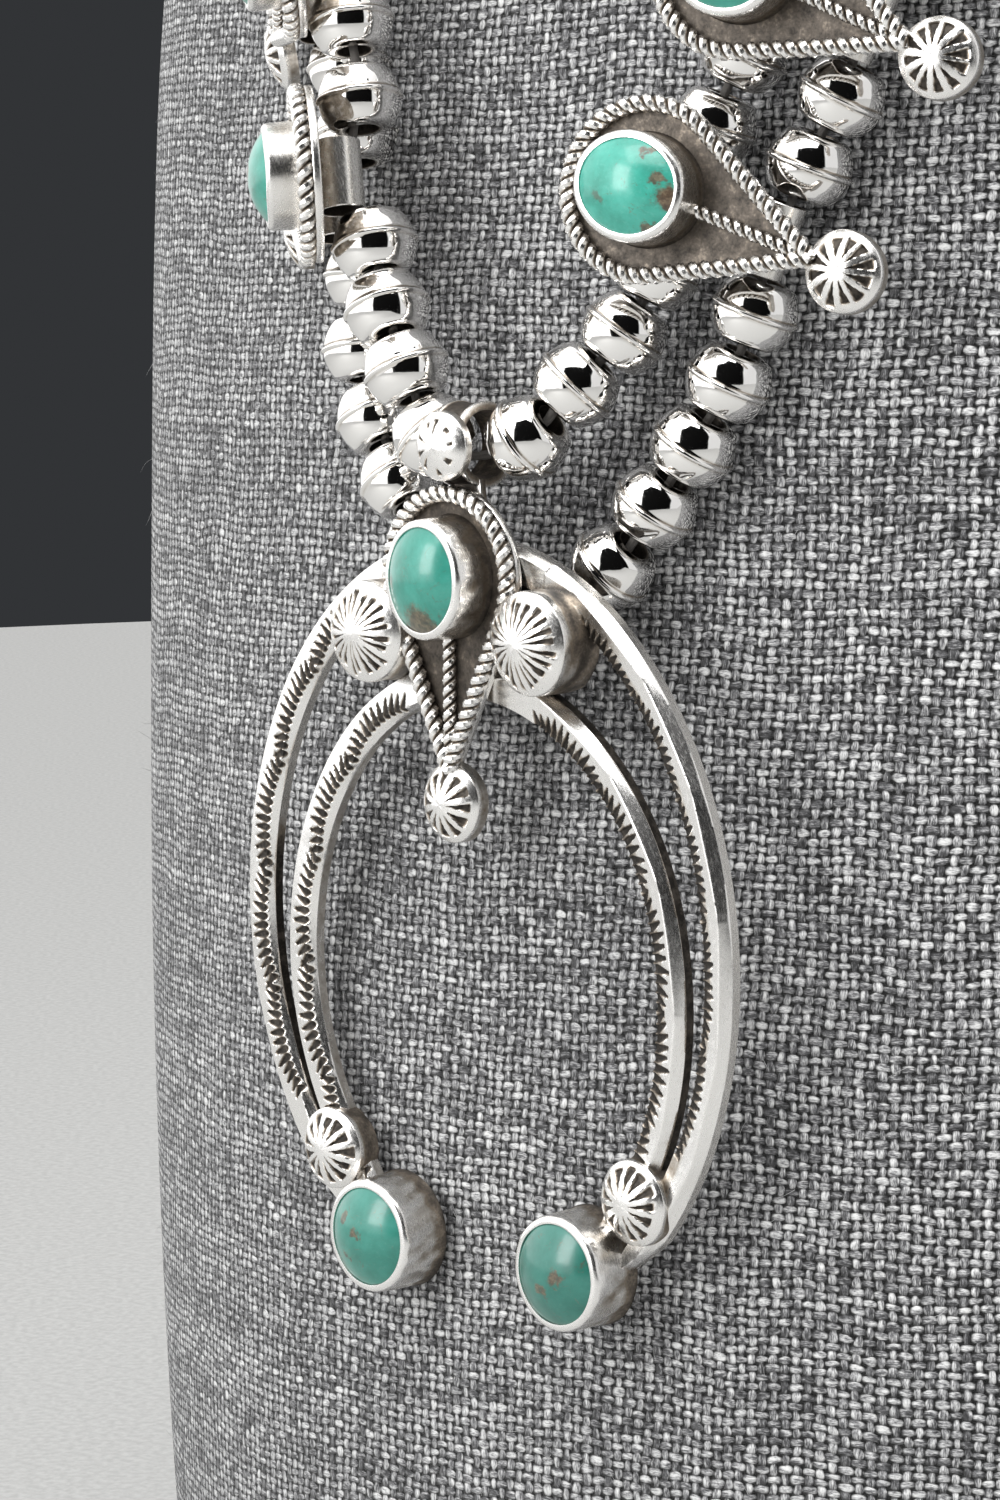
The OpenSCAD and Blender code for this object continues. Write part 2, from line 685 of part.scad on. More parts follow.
// Rings of a thin round tube through a list of points
function tube_rings(points, d) =
  [for (i = [0:len(points) - 1])
    let(
      t = unit(points[min(i + 1, len(points) - 1)] - points[max(i - 1, 0)]),
      side_dir = unit(cross(t, [0.3, -1, 0.2])),
      up = cross(t, side_dir)
    )
    [for (j = [0:thread_sides - 1]) let(a = j * 360 / thread_sides)
      points[i] + d / 2 * (cos(a) * side_dir + sin(a) * up)]];
module thread(strand, middle) {
  color("dimgray") sweep_rings(tube_rings(
    concat(reversed(thread_side(strand, RIGHT)), middle, thread_side(strand, LEFT)), thread_d));
}
naja_thread_out = naja_tube_out - (tube_d / 2 - tube_wall - thread_d / 2 - thread_slack);
naja_thread_half = naja_tube_len / 2 + 0.4;
outer_middle = [
  for (side = [RIGHT, LEFT]) naja_place([side * naja_thread_half, naja_thread_out, naja_tube_up])
];

module clasp() {
  places = [outer_point(strand_end(RIGHT), RIGHT), inner_point(strand_end(RIGHT), RIGHT)];
  bridge_t = 2.2;
  color(SILVER)
  difference() {
    union() {
      for (p = places)
        clasp_rod(p, clasp_barrel_d, clasp_l);
      translate([-clasp_l / 2, places[0][1] - bridge_t / 2, places[0][2]])
        cube([clasp_l, bridge_t, places[1][2] - places[0][2]]);
    }
    for (p = places)
      clasp_rod(p, thread_d + 1.2, 2 * clasp_l);
  }
}
module clasp_rod(p, d, len) {
  translate([0, p[1], p[2]]) rotate([0, 90, 0])
    cylinder(d = d, h = len, center = true, $fn = round_sides);
}

bust();
thread("inner", []);  // thread_inner
thread("outer", outer_middle);  // thread_outer
bead_string("inner", LEFT);  // beads_inner_left
bead_string("inner", RIGHT);  // beads_inner_right
bead_string("outer", LEFT);  // beads_outer_left
bead_string("outer", RIGHT);  // beads_outer_right
clasp();
naja();
naja_stone_center();
naja_end_stone(LEFT);  // naja_stone_left
naja_end_stone(RIGHT);  // naja_stone_right
blossom(1, LEFT);  // blossom_left_1
blossom(2, LEFT);  // blossom_left_2
blossom(3, LEFT);  // blossom_left_3
blossom(4, LEFT);  // blossom_left_4
blossom(5, LEFT);  // blossom_left_5
blossom(1, RIGHT);  // blossom_right_1
blossom(2, RIGHT);  // blossom_right_2
blossom(3, RIGHT);  // blossom_right_3
blossom(4, RIGHT);  // blossom_right_4
blossom(5, RIGHT);  // blossom_right_5
blossom_stone(1, LEFT);  // stone_left_1
blossom_stone(2, LEFT);  // stone_left_2
blossom_stone(3, LEFT);  // stone_left_3
blossom_stone(4, LEFT);  // stone_left_4
blossom_stone(5, LEFT);  // stone_left_5
blossom_stone(1, RIGHT);  // stone_right_1
blossom_stone(2, RIGHT);  // stone_right_2
blossom_stone(3, RIGHT);  // stone_right_3
blossom_stone(4, RIGHT);  // stone_right_4
blossom_stone(5, RIGHT);  // stone_right_5
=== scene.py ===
"""Squash blossom necklace on a linen-covered neck bust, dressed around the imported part."""

import json
import math

import bmesh
import bpy
import numpy as np
from mathutils import Matrix, Vector

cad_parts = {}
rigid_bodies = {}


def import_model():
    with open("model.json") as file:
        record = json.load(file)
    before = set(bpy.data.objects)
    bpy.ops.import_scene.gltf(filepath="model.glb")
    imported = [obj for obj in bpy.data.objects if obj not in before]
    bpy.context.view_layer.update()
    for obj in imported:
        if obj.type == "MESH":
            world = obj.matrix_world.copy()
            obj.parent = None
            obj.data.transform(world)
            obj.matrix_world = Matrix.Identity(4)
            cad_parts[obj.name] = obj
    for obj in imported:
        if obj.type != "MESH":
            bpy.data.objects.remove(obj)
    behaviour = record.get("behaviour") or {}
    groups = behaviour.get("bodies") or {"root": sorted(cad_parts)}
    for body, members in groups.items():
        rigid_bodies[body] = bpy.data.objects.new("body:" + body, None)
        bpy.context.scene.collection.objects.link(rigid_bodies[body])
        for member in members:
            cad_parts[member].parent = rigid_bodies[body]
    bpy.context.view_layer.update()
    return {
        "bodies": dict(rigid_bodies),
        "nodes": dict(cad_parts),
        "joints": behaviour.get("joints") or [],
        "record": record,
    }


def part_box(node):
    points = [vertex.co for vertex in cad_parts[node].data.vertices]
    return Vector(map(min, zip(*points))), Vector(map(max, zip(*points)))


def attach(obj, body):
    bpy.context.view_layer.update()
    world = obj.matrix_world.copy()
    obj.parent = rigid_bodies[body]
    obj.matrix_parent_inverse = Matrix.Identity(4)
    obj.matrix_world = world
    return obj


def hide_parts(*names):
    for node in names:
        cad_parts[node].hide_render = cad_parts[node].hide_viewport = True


MM = 0.001

# Sizes in millimetres and the number of blossoms on a side, the same as the part's
BLOSSOMS = 5
BEAD_D = 8.8
BEAD_LEN = 6.7
BEAD_HOLE_D = 3.5
SEAM_W = 0.5
SEAM_H = 0.25
TUBE_D = 4.9
TUBE_WALL = 0.3
TUBE_LEN = 7.4
TUBE_SPACING = 11.5
STONE_TO_TUBE = 1.5
HEAD_W = 19
TIP_REACH = 23.3
PLATE_T = 0.9
BORDER_WIRE_D = 1.9
MID_WIRE_D = 1.5
BUTTON_D = 8.2
BUTTON_DOME = 1.7
BUTTON_T = 0.5
HEAD_R = HEAD_W / 2 - BORDER_WIRE_D / 2
WIRE_TIP = TIP_REACH - BUTTON_D / 2 + 0.6
STONE_W = 9.6
STONE_L = 11
STONE_DOME = 2
STONE_GAP = 0.12
BEZEL_H = 4.4
BEZEL_WALL = 0.6
BEZEL_FLOOR = 0.8
END_STONE_D = 10.6
END_STONE_UP = -32.9
END_BEZEL_H = 5.4
END_BUTTON_D = 8.8
END_BUTTON_X = 22.3
END_BUTTON_UP = -25
BIG_BUTTON_D = 10.6
BIG_BUTTON_X = 11.9
BIG_BUTTON_UP = 31
BIG_BUTTON_TOP = 5
BIG_BUTTON_DOME = 2
BAIL_D = 8.8
BAIL_W = 4.4
BAIL_T = 0.9
BAIL_UP = 50.4
BAIL_OUT = 0.4
BAIL_BUTTON_OUT = 3.9
NAJA_PLATE_LIFT = 2
NAJA_STONE_UP = 37
NAJA_TUBE_LEN = 13
NAJA_TUBE_UP = 34
BAR_BEVEL_T = 1.1
BAR_FACE_T = 1.65
BAR_RIDGE_T = 2.1
BAR_ROUNDED = 0.3
# The crescent's two bars: half width, rise and drop of the middle line, width, angle of the ends, then the
# angle that one fan of stamps takes, the middle of one fan and the reach of its lines on the right arm
OUTER_BAR = {
    "half": 33.6, "rise": 39.3, "drop": 0.0, "w": 3.2 + BAR_ROUNDED, "end": 144,
    "fan": 18.8, "first": 74.2, "reach": 1.3,
}
INNER_BAR = {
    "half": 27.25, "rise": 30.95, "drop": 4.7, "w": 3.3 + BAR_ROUNDED, "end": 141,
    "fan": 23.5, "first": 79.8, "reach": 2.0,
}

# What only the scene has: lengths in millimetres, angles in degrees and counts
BAR_STEP = 0.125
BAR_COLUMNS = 27
SCALLOP = 0.35
FANS_FROM = 24
FANS_BEFORE_END = 14
MARK_SPACING = 0.86
MARK_SPREAD = 84
MARK_HALF_W = 0.3
MARK_DEPTH = 0.28
YARN_ACROSS = 1.25
YARN_UP = 0.95
BUST_EDGE_R = 5
BUST_ROWS = 181
BUST_COLUMNS = 256
FLAT_DEPTH = 2.4
FLAT_TURN = -60
FLAT_SPREAD = 17
HAIRS = 2200
HAIR_R = 0.032

# Camera, from places measured in the photo: angles in degrees, lengths in millimetres
CAMERA_AZIMUTH = 41.0
CAMERA_ELEVATION = 6.9
CAMERA_ROLL = -1.63
CAMERA_TARGET = (1.8, -60, 137)
CAMERA_DISTANCE = 503.5
FOCAL_PX = 4917
PHOTO_H_PX = 1500
SENSOR = 36


def unit(v):
    v = np.asarray(v, float)
    return v / np.linalg.norm(v, axis=-1, keepdims=True)


def smooth(lo, hi, x):
    t = np.clip((np.asarray(x, float) - lo) / (hi - lo), 0, 1)
    return t * t * (3 - 2 * t)


def mix(a, b, t):
    return a + (b - a) * t


def circle(steps):
    """Angles at even steps round a circle."""
    return np.arange(steps) * 2 * math.pi / steps


def ripples(rng, count, turns, rises, size):
    """A smooth uneven surface over an angle and a height, the same all round."""
    waves = []
    for _ in range(count):
        turn, rise = int(rng.integers(1, turns + 1)), rng.uniform(-rises, rises)
        waves.append((turn, rise, rng.uniform(0, 2 * math.pi), rng.uniform(0.4, 1)))
    scale = size / math.sqrt(sum(wave[3] for wave in waves))

    def at(angle, height):
        parts = (share * np.sin(turn * angle + rise * height + phase) for turn, rise, phase, share in waves)
        return scale * sum(parts)

    return at


class Place:
    """Where a piece is: its shape is worked out in millimetres along these three axes."""

    def __init__(self, origin, x, y, z):
        self.origin = np.asarray(origin, float)
        self.axes = np.array([x, y, z], float)

    def out(self, p):
        return self.origin + MM * (np.asarray(p, float) @ self.axes)

    def moved(self, x, y, z, turn=0.0):
        """The same axes from another point, turned about z by an angle in degrees."""
        c, s = math.cos(math.radians(turn)), math.sin(math.radians(turn))
        ax, ay, az = self.axes
        return Place(self.out([x, y, z]), c * ax + s * ay, c * ay - s * ax, az)


class Shape:
    """Grids of points gathered into one mesh, each point with how dark its silver is: oxide and painted
    shade.
    """

    def __init__(self, place=None):
        self.place = place
        self.points = []
        self.faces = []
        self.tarnish_and_shade = []
        self.uv = []
        self.count = 0

    def add(self, points, tarnish_and_shade, uv=None):
        points = np.asarray(points, float).reshape(-1, 3)
        first = self.count
        self.points.append(self.place.out(points) if self.place else points)
        self.tarnish_and_shade.append(np.broadcast_to(np.asarray(tarnish_and_shade, float).reshape(-1), (len(points),)))
        self.uv.append(np.zeros((len(points), 2)) if uv is None else np.asarray(uv, float).reshape(-1, 2))
        self.count += len(points)
        return first

    def grid(self, p, tarnish_and_shade, loop_u=False, loop_v=False, start=None, end=None, uv=None):
        """Faces over points p[row, column]. start and end close the outer rows with a middle point."""
        rows, cols = p.shape[:2]
        t = np.broadcast_to(np.asarray(tarnish_and_shade, float), (rows, cols))
        first = self.add(p, t, uv)
        ids = first + np.arange(rows * cols).reshape(rows, cols)
        if loop_u:
            ids = np.vstack([ids, ids[:1]])
        if loop_v:
            ids = np.hstack([ids, ids[:, :1]])
        quads = np.stack([ids[:-1, :-1], ids[1:, :-1], ids[1:, 1:], ids[:-1, 1:]], axis=-1).reshape(-1, 4)
        self.faces.extend(quads.tolist())
        for middle, row in ((start, 0), (end, rows - 1)):
            if middle is not None:
                self.fan(ids[row], middle, t[row].mean())

    def fan(self, ring, middle, tarnish_and_shade):
        m = self.add([middle], tarnish_and_shade)
        self.faces.extend([[int(a), int(b), m] for a, b in zip(ring[:-1], ring[1:])])

    def build(self, name, material, sharp):
        mesh = bpy.data.meshes.new(name)
        mesh.from_pydata(np.concatenate(self.points).tolist(), [], self.faces)
        # Darkness of the silver at each point: oxide in the hollows, and painted shade where parts meet or
        # face away from the light.
        mesh.attributes.new("tarnish_and_shade", "FLOAT", "POINT").data.foreach_set(
            "value", np.concatenate(self.tarnish_and_shade).astype(np.float32)
        )
        uv = np.concatenate(self.uv)
        if np.any(uv):
            layer = mesh.uv_layers.new(name="face")
            corner = np.zeros(len(mesh.loops), np.int32)
            mesh.loops.foreach_get("vertex_index", corner)
            layer.data.foreach_set("uv", uv[corner].astype(np.float32).ravel())
        work = bmesh.new()
        work.from_mesh(mesh)
        bmesh.ops.recalc_face_normals(work, faces=work.faces)
        work.to_mesh(mesh)
        work.free()
        mesh.shade_smooth()
        mesh.set_sharp_from_angle(angle=math.radians(sharp))
        mesh.materials.append(material)
        obj = bpy.data.objects.new(name, mesh)
        bpy.context.scene.collection.objects.link(obj)
        return obj


def dress(shape, name, material, slot, *nodes, sharp=38):
    """Builds a shape as a piece that rides on the part and stands for these nodes."""
    obj = shape.build(name, material, sharp)
    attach(obj, "root")
    if nodes:
        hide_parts(*nodes)


# Reading the frame


def mesh_arrays(obj):
    mesh = obj.data
    co = np.zeros(len(mesh.vertices) * 3, np.float32)
    mesh.vertices.foreach_get("co", co)
    edges = np.zeros(len(mesh.edges) * 2, np.int32)
    mesh.edges.foreach_get("vertices", edges)
    return co.reshape(-1, 3).astype(float), edges.reshape(-1, 2)


def loose_parts(obj):
    """Points of each separate solid of a node, as a list of arrays."""
    co, edges = mesh_arrays(obj)
    _, same = np.unique(np.round(co / (0.01 * MM)).astype(np.int64), axis=0, return_inverse=True)
    same = same.reshape(-1)
    a, b = same[edges[:, 0]], same[edges[:, 1]]
    label = np.arange(same.max() + 1)
    while True:
        low = np.minimum(label[a], label[b])
        new = label.copy()
        np.minimum.at(new, a, low)
        np.minimum.at(new, b, low)
        new = new[new]
        if np.array_equal(new, label):
            break
        label = new
    group = label[same]
    return [co[group == g] for g in np.unique(group)]


def spread_axes(points):
    """How far a set of points spreads and in which directions, least first."""
    values, vectors = np.linalg.eigh(np.cov((points - points.mean(0)).T))
    return values, vectors.T


def beads_of(node):
    """Middle and direction of each round bead of a node."""
    found = []
    for points in loose_parts(node):
        values, axes = spread_axes(points)
        odd = 0 if values[1] - values[0] > values[2] - values[1] else 2
        axis = axes[odd]
        along = points @ axis
        middle = points.mean(0) + axis * ((along.max() + along.min()) / 2 - along.mean())
        found.append((middle, axis if axis[2] > 0 else -axis))
    return found


def stone_place(node, lift, towards):
    """Place of what a stone is set in: x along the stone towards a point, z outwards, its back at 0."""
    flat = {}
    for face in node.data.polygons:
        key = tuple(round(c, 2) for c in face.normal)
        flat[key] = flat.get(key, 0) + np.array(face.normal) * face.area
    z = -unit(max(flat.values(), key=np.linalg.norm))
    points = np.unique(np.round(mesh_arrays(node)[0], 6), axis=0)
    along = points @ z
    low = points[along < along.min() + 0.1 * MM]
    middle = low.mean(0)
    x = spread_axes(low)[1][2]
    x = unit(x - z * (x @ z))
    if (np.asarray(towards) - middle) @ x < 0:
        x = -x
    return Place(middle - lift * MM * z, x, np.cross(z, x), z)


# Shapes that several pieces share


def oval(a, b, steps, grow=0.0):
    """Points of an oval grown along its normals, with their angles."""
    t = circle(steps)
    p = np.stack([a * np.cos(t), b * np.sin(t)], -1)
    n = unit(np.stack([b * np.cos(t), a * np.sin(t)], -1))
    return p + np.asarray(grow) * n, t


def rope(shape, path, up, d, pitch, phase):
    """Two round wires twisted together along a path, in the plane whose normal is up."""
    path = np.asarray(path, float)
    s = np.concatenate([[0], np.cumsum(np.linalg.norm(np.diff(path, axis=0), axis=1))])
    count = int(s[-1] / pitch * 11)
    at = np.linspace(0, s[-1], count)
    middle = np.stack([np.interp(at, s, path[:, k]) for k in range(3)], -1)
    along = unit(np.gradient(middle, axis=0))
    across = unit(np.cross(along, up))
    strand_r, off = 0.28 * d, 0.23 * d
    for strand in (0, math.pi):
        turn = 2 * math.pi * at / pitch + phase + strand
        radial = np.cos(turn)[:, None] * up + np.sin(turn)[:, None] * across
        line = middle + off * radial
        tangent = unit(np.gradient(line, axis=0))
        side = unit(np.cross(tangent, radial))
        a = circle(8)[:, None]
        ring = line[:, None] + strand_r * (np.cos(a) * radial[:, None] + np.sin(a) * side[:, None])
        # Darkness of the strands: darker towards the crevices between them, and painted shade on the
        # underside that faces the plate.
        out = ring - middle[:, None]
        far = np.linalg.norm(out, axis=-1) / (off + strand_r)
        low = -(out @ np.asarray(up, float)) / (off + strand_r)
        dark = np.clip(1.1 * (1 - smooth(0.6, 0.93, far)) + 0.5 * smooth(0.2, 0.9, low), 0, 1)
        shape.grid(ring, dark, loop_v=True, start=line[0], end=line[-1])


def wedge_mask(r, a, rng, count, inner, outer, fill, rough):
    """How deep a point lies in the radiating stamps of a button: r from 0 to 1, a in radians."""
    mask = np.zeros_like(a)
    for k in range(count):
        middle = (k + rng.uniform(-0.16, 0.16) * rough) * 2 * math.pi / count
        half = math.pi / count * fill * rng.uniform(1 - 0.3 * rough, 1 + 0.25 * rough)
        r0 = inner * rng.uniform(1 - 0.25 * rough, 1 + 0.5 * rough)
        r1 = outer * rng.uniform(1 - 0.12 * rough, 1.02)
        away = np.abs((a - middle + math.pi) % (2 * math.pi) - math.pi)
        width = half * np.clip((r - 0.6 * r0) / (r1 - 0.6 * r0), 0.02, 1)
        ends = smooth(r0 - 0.05, r0 + 0.05, r) * smooth(r1 + 0.025, r1 - 0.03, r)
        mask = np.maximum(mask, smooth(0, 0.35, 1 - away / width) * ends)
    return mask


def button(shape, d, base, top, dome, rng, count=12, inner=0.26, outer=0.85, fill=0.78, depth=0.36, rough=0.7,
           wall=0.35, wall_bumps=0.0, steps=132):
    """Domed button with stamped rays on a round wall, about the shape's own z."""
    big_r = d / 2
    ball = (big_r**2 + dome**2) / (2 * dome)
    a = circle(steps)
    uneven = ripples(rng, 5, 4, 0.0, 0.02 * big_r)
    r = np.concatenate([np.linspace(0.05, 0.9, 17), [0.94, 0.97, 0.99]])
    rr, aa = np.meshgrid(r, a, indexing="ij")
    mask = wedge_mask(rr, aa, rng, count, inner, outer, fill, rough)
    height = top + dome - ball + np.sqrt(ball**2 - (rr * big_r) ** 2) - depth * mask
    height += 0.05 * uneven(aa, 0) * (1 - rr) * 4
    wide = 1 + uneven(aa, 0) / big_r * rr
    rows = np.stack([rr * big_r * wide * np.cos(aa), rr * big_r * wide * np.sin(aa), height], -1)
    bumps = ripples(rng, 9, 11, 3.0, wall_bumps)
    side, side_dark = [], []
    for t in np.linspace(0, 1, 9 if top - base > 2 else 4):
        z = mix(top - 0.12, base, t)
        grow = bumps(a, z) * smooth(0, 0.25, t)
        ring_r = big_r * (1 + uneven(a, 0) / big_r) + grow
        side.append(np.stack([ring_r * np.cos(a), ring_r * np.sin(a), np.full(steps, z)], -1))
        side_dark.append(np.clip(mix(0.05, wall, smooth(0, 0.3, t)) - 2.2 * grow, 0, 1))
    dark = np.concatenate([0.92 * mask, side_dark])
    shape.grid(np.concatenate([rows, side]), dark, loop_v=True, start=[0, 0, top + dome], end=[0, 0, base])


def tube(shape, middle, along, across, up, length, tarnish_and_shade=0.12):
    """Thin open tube with rounded rims."""
    r, wall, half = TUBE_D / 2, TUBE_WALL, length / 2
    a = circle(40)
    rim = [(r, half - 0.1), (r - 0.08, half), (r - wall + 0.08, half), (r - wall, half - 0.1)]
    profile = [(x, -y) for x, y in rim[::-1]] + [(r, -half / 3), (r, half / 3)] + rim
    ring = np.cos(a)[:, None] * up + np.sin(a)[:, None] * across
    rows = [np.asarray(middle, float) + radius * ring + y * along for radius, y in profile]
    # Painted shade: the inside of the tube is dark and fades out over the rims; the outside takes the given
    # value.
    dark = [0.8, 0.3, 0.1] + [tarnish_and_shade] * 4 + [0.1, 0.3, 0.8]
    shape.grid(np.array(rows), np.array(dark)[:, None], loop_u=True, loop_v=True)


def bezel(shape, w, l, h, rng, bumps, wall):
    """Bezel wall round a stone, rubbed over its edge at the top."""
    outer = STONE_GAP + BEZEL_WALL
    uneven = ripples(rng, 12, 22, 3.2, 1.0)
    worn = ripples(rng, 6, 9, 0.0, 0.03)
    # Growth, height, darkness and how much of the bumps each row takes. Painted shade darkens the inside wall
    # by the stone, and the foot on the plate has painted shade over oxide.
    profile = [
        (STONE_GAP, BEZEL_FLOOR, 0.9, 0), (STONE_GAP, h - 0.5, 0.9, 0), (0.02, h - 0.05, 0.8, 0),
        (-0.16, h + 0.16, 0.35, 0), (-0.12, h + 0.27, 0.0, 0), (0.1, h + 0.3, 0.0, 0),
        (outer - 0.26, h + 0.16, 0.0, 0), (outer - 0.1, h - 0.04, 0.0, 0.2),
        (outer - 0.03, h - 0.35, 0.06, 0.7), (outer, h * 0.75, wall * 0.6, 1),
        (outer + 0.02, h * 0.55, wall, 1), (outer + 0.02, h * 0.35, wall, 1),
        (outer + 0.04, h * 0.18, mix(wall, 1, 0.35), 0.7), (outer + 0.16, 0.12, 0.8, 0.2),
        (outer + 0.24, 0.0, 0.95, 0),
    ]
    ring, t = oval(l / 2, w / 2, 96)
    n = oval(l / 2, w / 2, 96, 1.0)[0] - ring
    rows, dark = [], []
    for grow, height, tarnish_and_shade, share in profile:
        lumps = share * uneven(t, height)
        rows.append(np.insert(ring + (grow + bumps * lumps)[:, None] * n, 2, height, axis=1))
        dark.append(np.clip(tarnish_and_shade - 0.16 * lumps * (bumps > 0), 0, 1))
    rows = np.array(rows)
    rows[3:7, :, 2] += worn(t, 0)
    shape.grid(rows, np.array(dark), loop_u=True, loop_v=True)


def stone(shape, w, l, h, rng):
    """Polished stone with a straight girdle and a low dome; uv runs from -1 to 1 over its face."""
    sweep = 2 * math.atan(2 * STONE_DOME / w)
    levels = [(0.97, BEZEL_FLOOR + STONE_GAP), (1.0, BEZEL_FLOOR + STONE_GAP + 0.1), (1.0, h - 0.2)]
    for k in range(15):
        a = sweep * (1 - k / 15)
        rise = (math.cos(a) - math.cos(sweep)) / (1 - math.cos(sweep))
        levels.append((math.sin(a) / math.sin(sweep), h + STONE_DOME * rise))
    ring, t = oval(l / 2, w / 2, 64)
    tilt = rng.uniform(-0.02, 0.02, 2)
    rows, uv = [], []
    for share, z in levels:
        xy = share * ring
        rows.append(np.insert(xy, 2, z + (xy @ tilt) * (1 - share) * 2, axis=1))
        uv.append(share * np.stack([np.cos(t), np.sin(t)], -1) + 1e-6)
    shape.grid(np.array(rows), 0, loop_v=True, start=[0, 0, levels[0][1]], end=[0, 0, h + STONE_DOME],
               uv=np.array(uv))


# Blossoms


def teardrop(grow, steps):
    """Outline of the plate, as points at even steps, grown outside the middle of its border wire."""
    r, reach = HEAD_R + grow, WIRE_TIP + grow
    a = math.acos(r / reach)
    run = reach * math.sin(a)
    arc = 2 * (math.pi - a) * r
    total = arc + 2 * run
    points = []
    for s in np.arange(steps) * total / steps:
        if s < run:
            t = s / run
            points.append([mix(reach, r * math.cos(a), t), mix(0, r * math.sin(a), t)])
        elif s < run + arc:
            b = a + (s - run) / r
            points.append([r * math.cos(b), r * math.sin(b)])
        else:
            t = (s - run - arc) / run
            points.append([mix(r * math.cos(a), reach, t), mix(-r * math.sin(a), 0, t)])
    return np.array(points)


def plate(shape, rng):
    """Darkened teardrop plate with a bright thin edge."""
    middle = np.array([3.2, 0])
    steps = 120
    edges = (
        (0.3, 0, 0.45), (0.55, 0.06, 0.2), (0.62, 0.2, 0.05), (0.62, PLATE_T - 0.2, 0.05),
        (0.5, PLATE_T - 0.03, 0.1), (0.3, PLATE_T, 0.8),
    )
    dents = ripples(rng, 6, 6, 0.7, 0.035)
    rows = [np.insert(teardrop(grow, steps), 2, z, axis=1) for grow, z, _ in edges]
    dark = [tarnish_and_shade for _, _, tarnish_and_shade in edges]
    away = teardrop(0.62, steps) - middle
    angle = np.arctan2(away[:, 1], away[:, 0])
    for share in (0.9, 0.8, 0.65, 0.5, 0.3, 0.12):
        xy = middle + away * share
        z = PLATE_T + dents(angle, 6 * share) * min(1, 4 * (1 - share))
        rows.append(np.insert(xy, 2, z, axis=1))
        dark.append(0.78)
    shape.grid(np.array(rows), np.array(dark)[:, None], loop_v=True, start=[*middle, 0],
               end=[*middle, PLATE_T])


def blossom_face(shape, rng, hammered=0.0):
    """Plate, border wire, middle wire, bezel and the button at the tip."""
    plate(shape, rng)
    path = np.insert(teardrop(0, 240), 2, PLATE_T + BORDER_WIRE_D / 2 - 0.2, axis=1)
    path = np.concatenate([path, path[:1]])
    up = np.array([0, 0, 1.0])
    rope(shape, path, up, BORDER_WIRE_D, 2.7, rng.uniform(0, 6))
    height = PLATE_T + MID_WIRE_D / 2 - 0.15
    path = [[x, 0, height] for x in np.linspace(STONE_L / 2 + 0.2, TIP_REACH - 3.2, 30)]
    rope(shape, path, up, MID_WIRE_D, 2.5, rng.uniform(0, 6))
    held = shape.place
    shape.place = held.moved(0, 0, PLATE_T - 0.01)
    bezel(shape, STONE_W, STONE_L, BEZEL_H, rng, bumps=hammered, wall=0.2 + hammered)
    shape.place = held.moved(TIP_REACH, 0, 0)
    button(shape, BUTTON_D, 0, PLATE_T + BUTTON_T, BUTTON_DOME, rng)
    shape.place = held


def blossom(name, place, rng, material):
    shape = Shape(place)
    blossom_face(shape, rng)
    ex, ey, ez = np.eye(3)
    for x in (STONE_TO_TUBE, STONE_TO_TUBE + TUBE_SPACING):
        tube(shape, [x, 0, 0.15 - TUBE_D / 2], ey, ex, ez, TUBE_LEN)
    dress(shape, name + "_silver", material, "silver", name)


# Beads


def half_bead(size, levels):
    """Rows from the rim of the hole: place along it, radius, darkness and whether the row takes dents.
    Painted shade darkens the rows that turn into the hole.
    """
    r, half, hole = BEAD_D / 2, BEAD_LEN / 2, BEAD_HOLE_D / 2
    rows = [(half - 0.25, hole, 0.9, 0), (half - 0.05, hole + 0.02, 0.7, 0), (half, hole + 0.15, 0.25, 0)]
    knee = 2.5
    knee_r = size * math.sqrt(r * r - knee * knee)
    for k in range(1, 4):
        a = k / 3 * math.pi / 2
        rows.append((mix(half, knee, 1 - math.cos(a)), mix(hole + 0.15, knee_r, math.sin(a)), 0.0, 1))
    return rows + [(z, size * math.sqrt(r * r - z * z), 0.0, 1) for z in levels]


def bead_profile():
    """Rows of both halves and of the seam between them. The half above the seam is a little smaller."""
    size = 0.985
    r = BEAD_D / 2
    seam = r + SEAM_H
    low = [(-z, *row) for z, *row in half_bead(1, (2.1, 1.6, 1.1, 0.65))]
    middle = [
        (-0.36, r - 0.03, 0.25, 0), (-SEAM_W / 2, seam - 0.12, 0.1, 0), (-0.1, seam, 0.0, 0),
        (0.08, seam - 0.02, 0.0, 0), (SEAM_W / 2 - 0.05, seam - 0.2, 0.15, 0),
        (0.33, size * r - 0.02, 0.45, 0),
    ]
    return low + middle + half_bead(size, (2.1, 1.6, 1.1, 0.6))[::-1]


def bead_string(name, node, material, seed):
    rng = np.random.default_rng(seed)
    z, r, dark, take = np.array(bead_profile()).T[..., None]
    a = circle(40)
    shape = Shape()
    for middle, axis in beads_of(node):
        x = unit(np.cross(axis, [0.3, -1, 0.2]))
        shape.place = Place(middle, x, np.cross(axis, x), axis)
        dents = ripples(rng, 7, 5, 1.1, 0.02)
        rr = r + take * dents(a, z)
        grid = np.stack([rr * np.cos(a), rr * np.sin(a), np.broadcast_to(z, rr.shape)], -1)
        shape.grid(grid, dark, loop_u=True, loop_v=True)
    dress(shape, name + "_silver", material, "silver", name, sharp=50)


# Naja


def bar_top(x, w, lean, ridge):
    """Height of a bar's stamped top at a place across it. Its bevel changes sides as lean goes to 1."""
    left, right = mix(BAR_BEVEL_T, BAR_FACE_T, lean), mix(BAR_FACE_T, BAR_BEVEL_T, lean)
    peak = (ridge - 0.5) * w
    a = left + (BAR_RIDGE_T - left) * (x + w / 2) / (peak + w / 2)
    b = right + (BAR_RIDGE_T - right) * (w / 2 - x) / (w / 2 - peak)
    k = 0.05
    return -k * np.logaddexp(-a / k, -b / k)


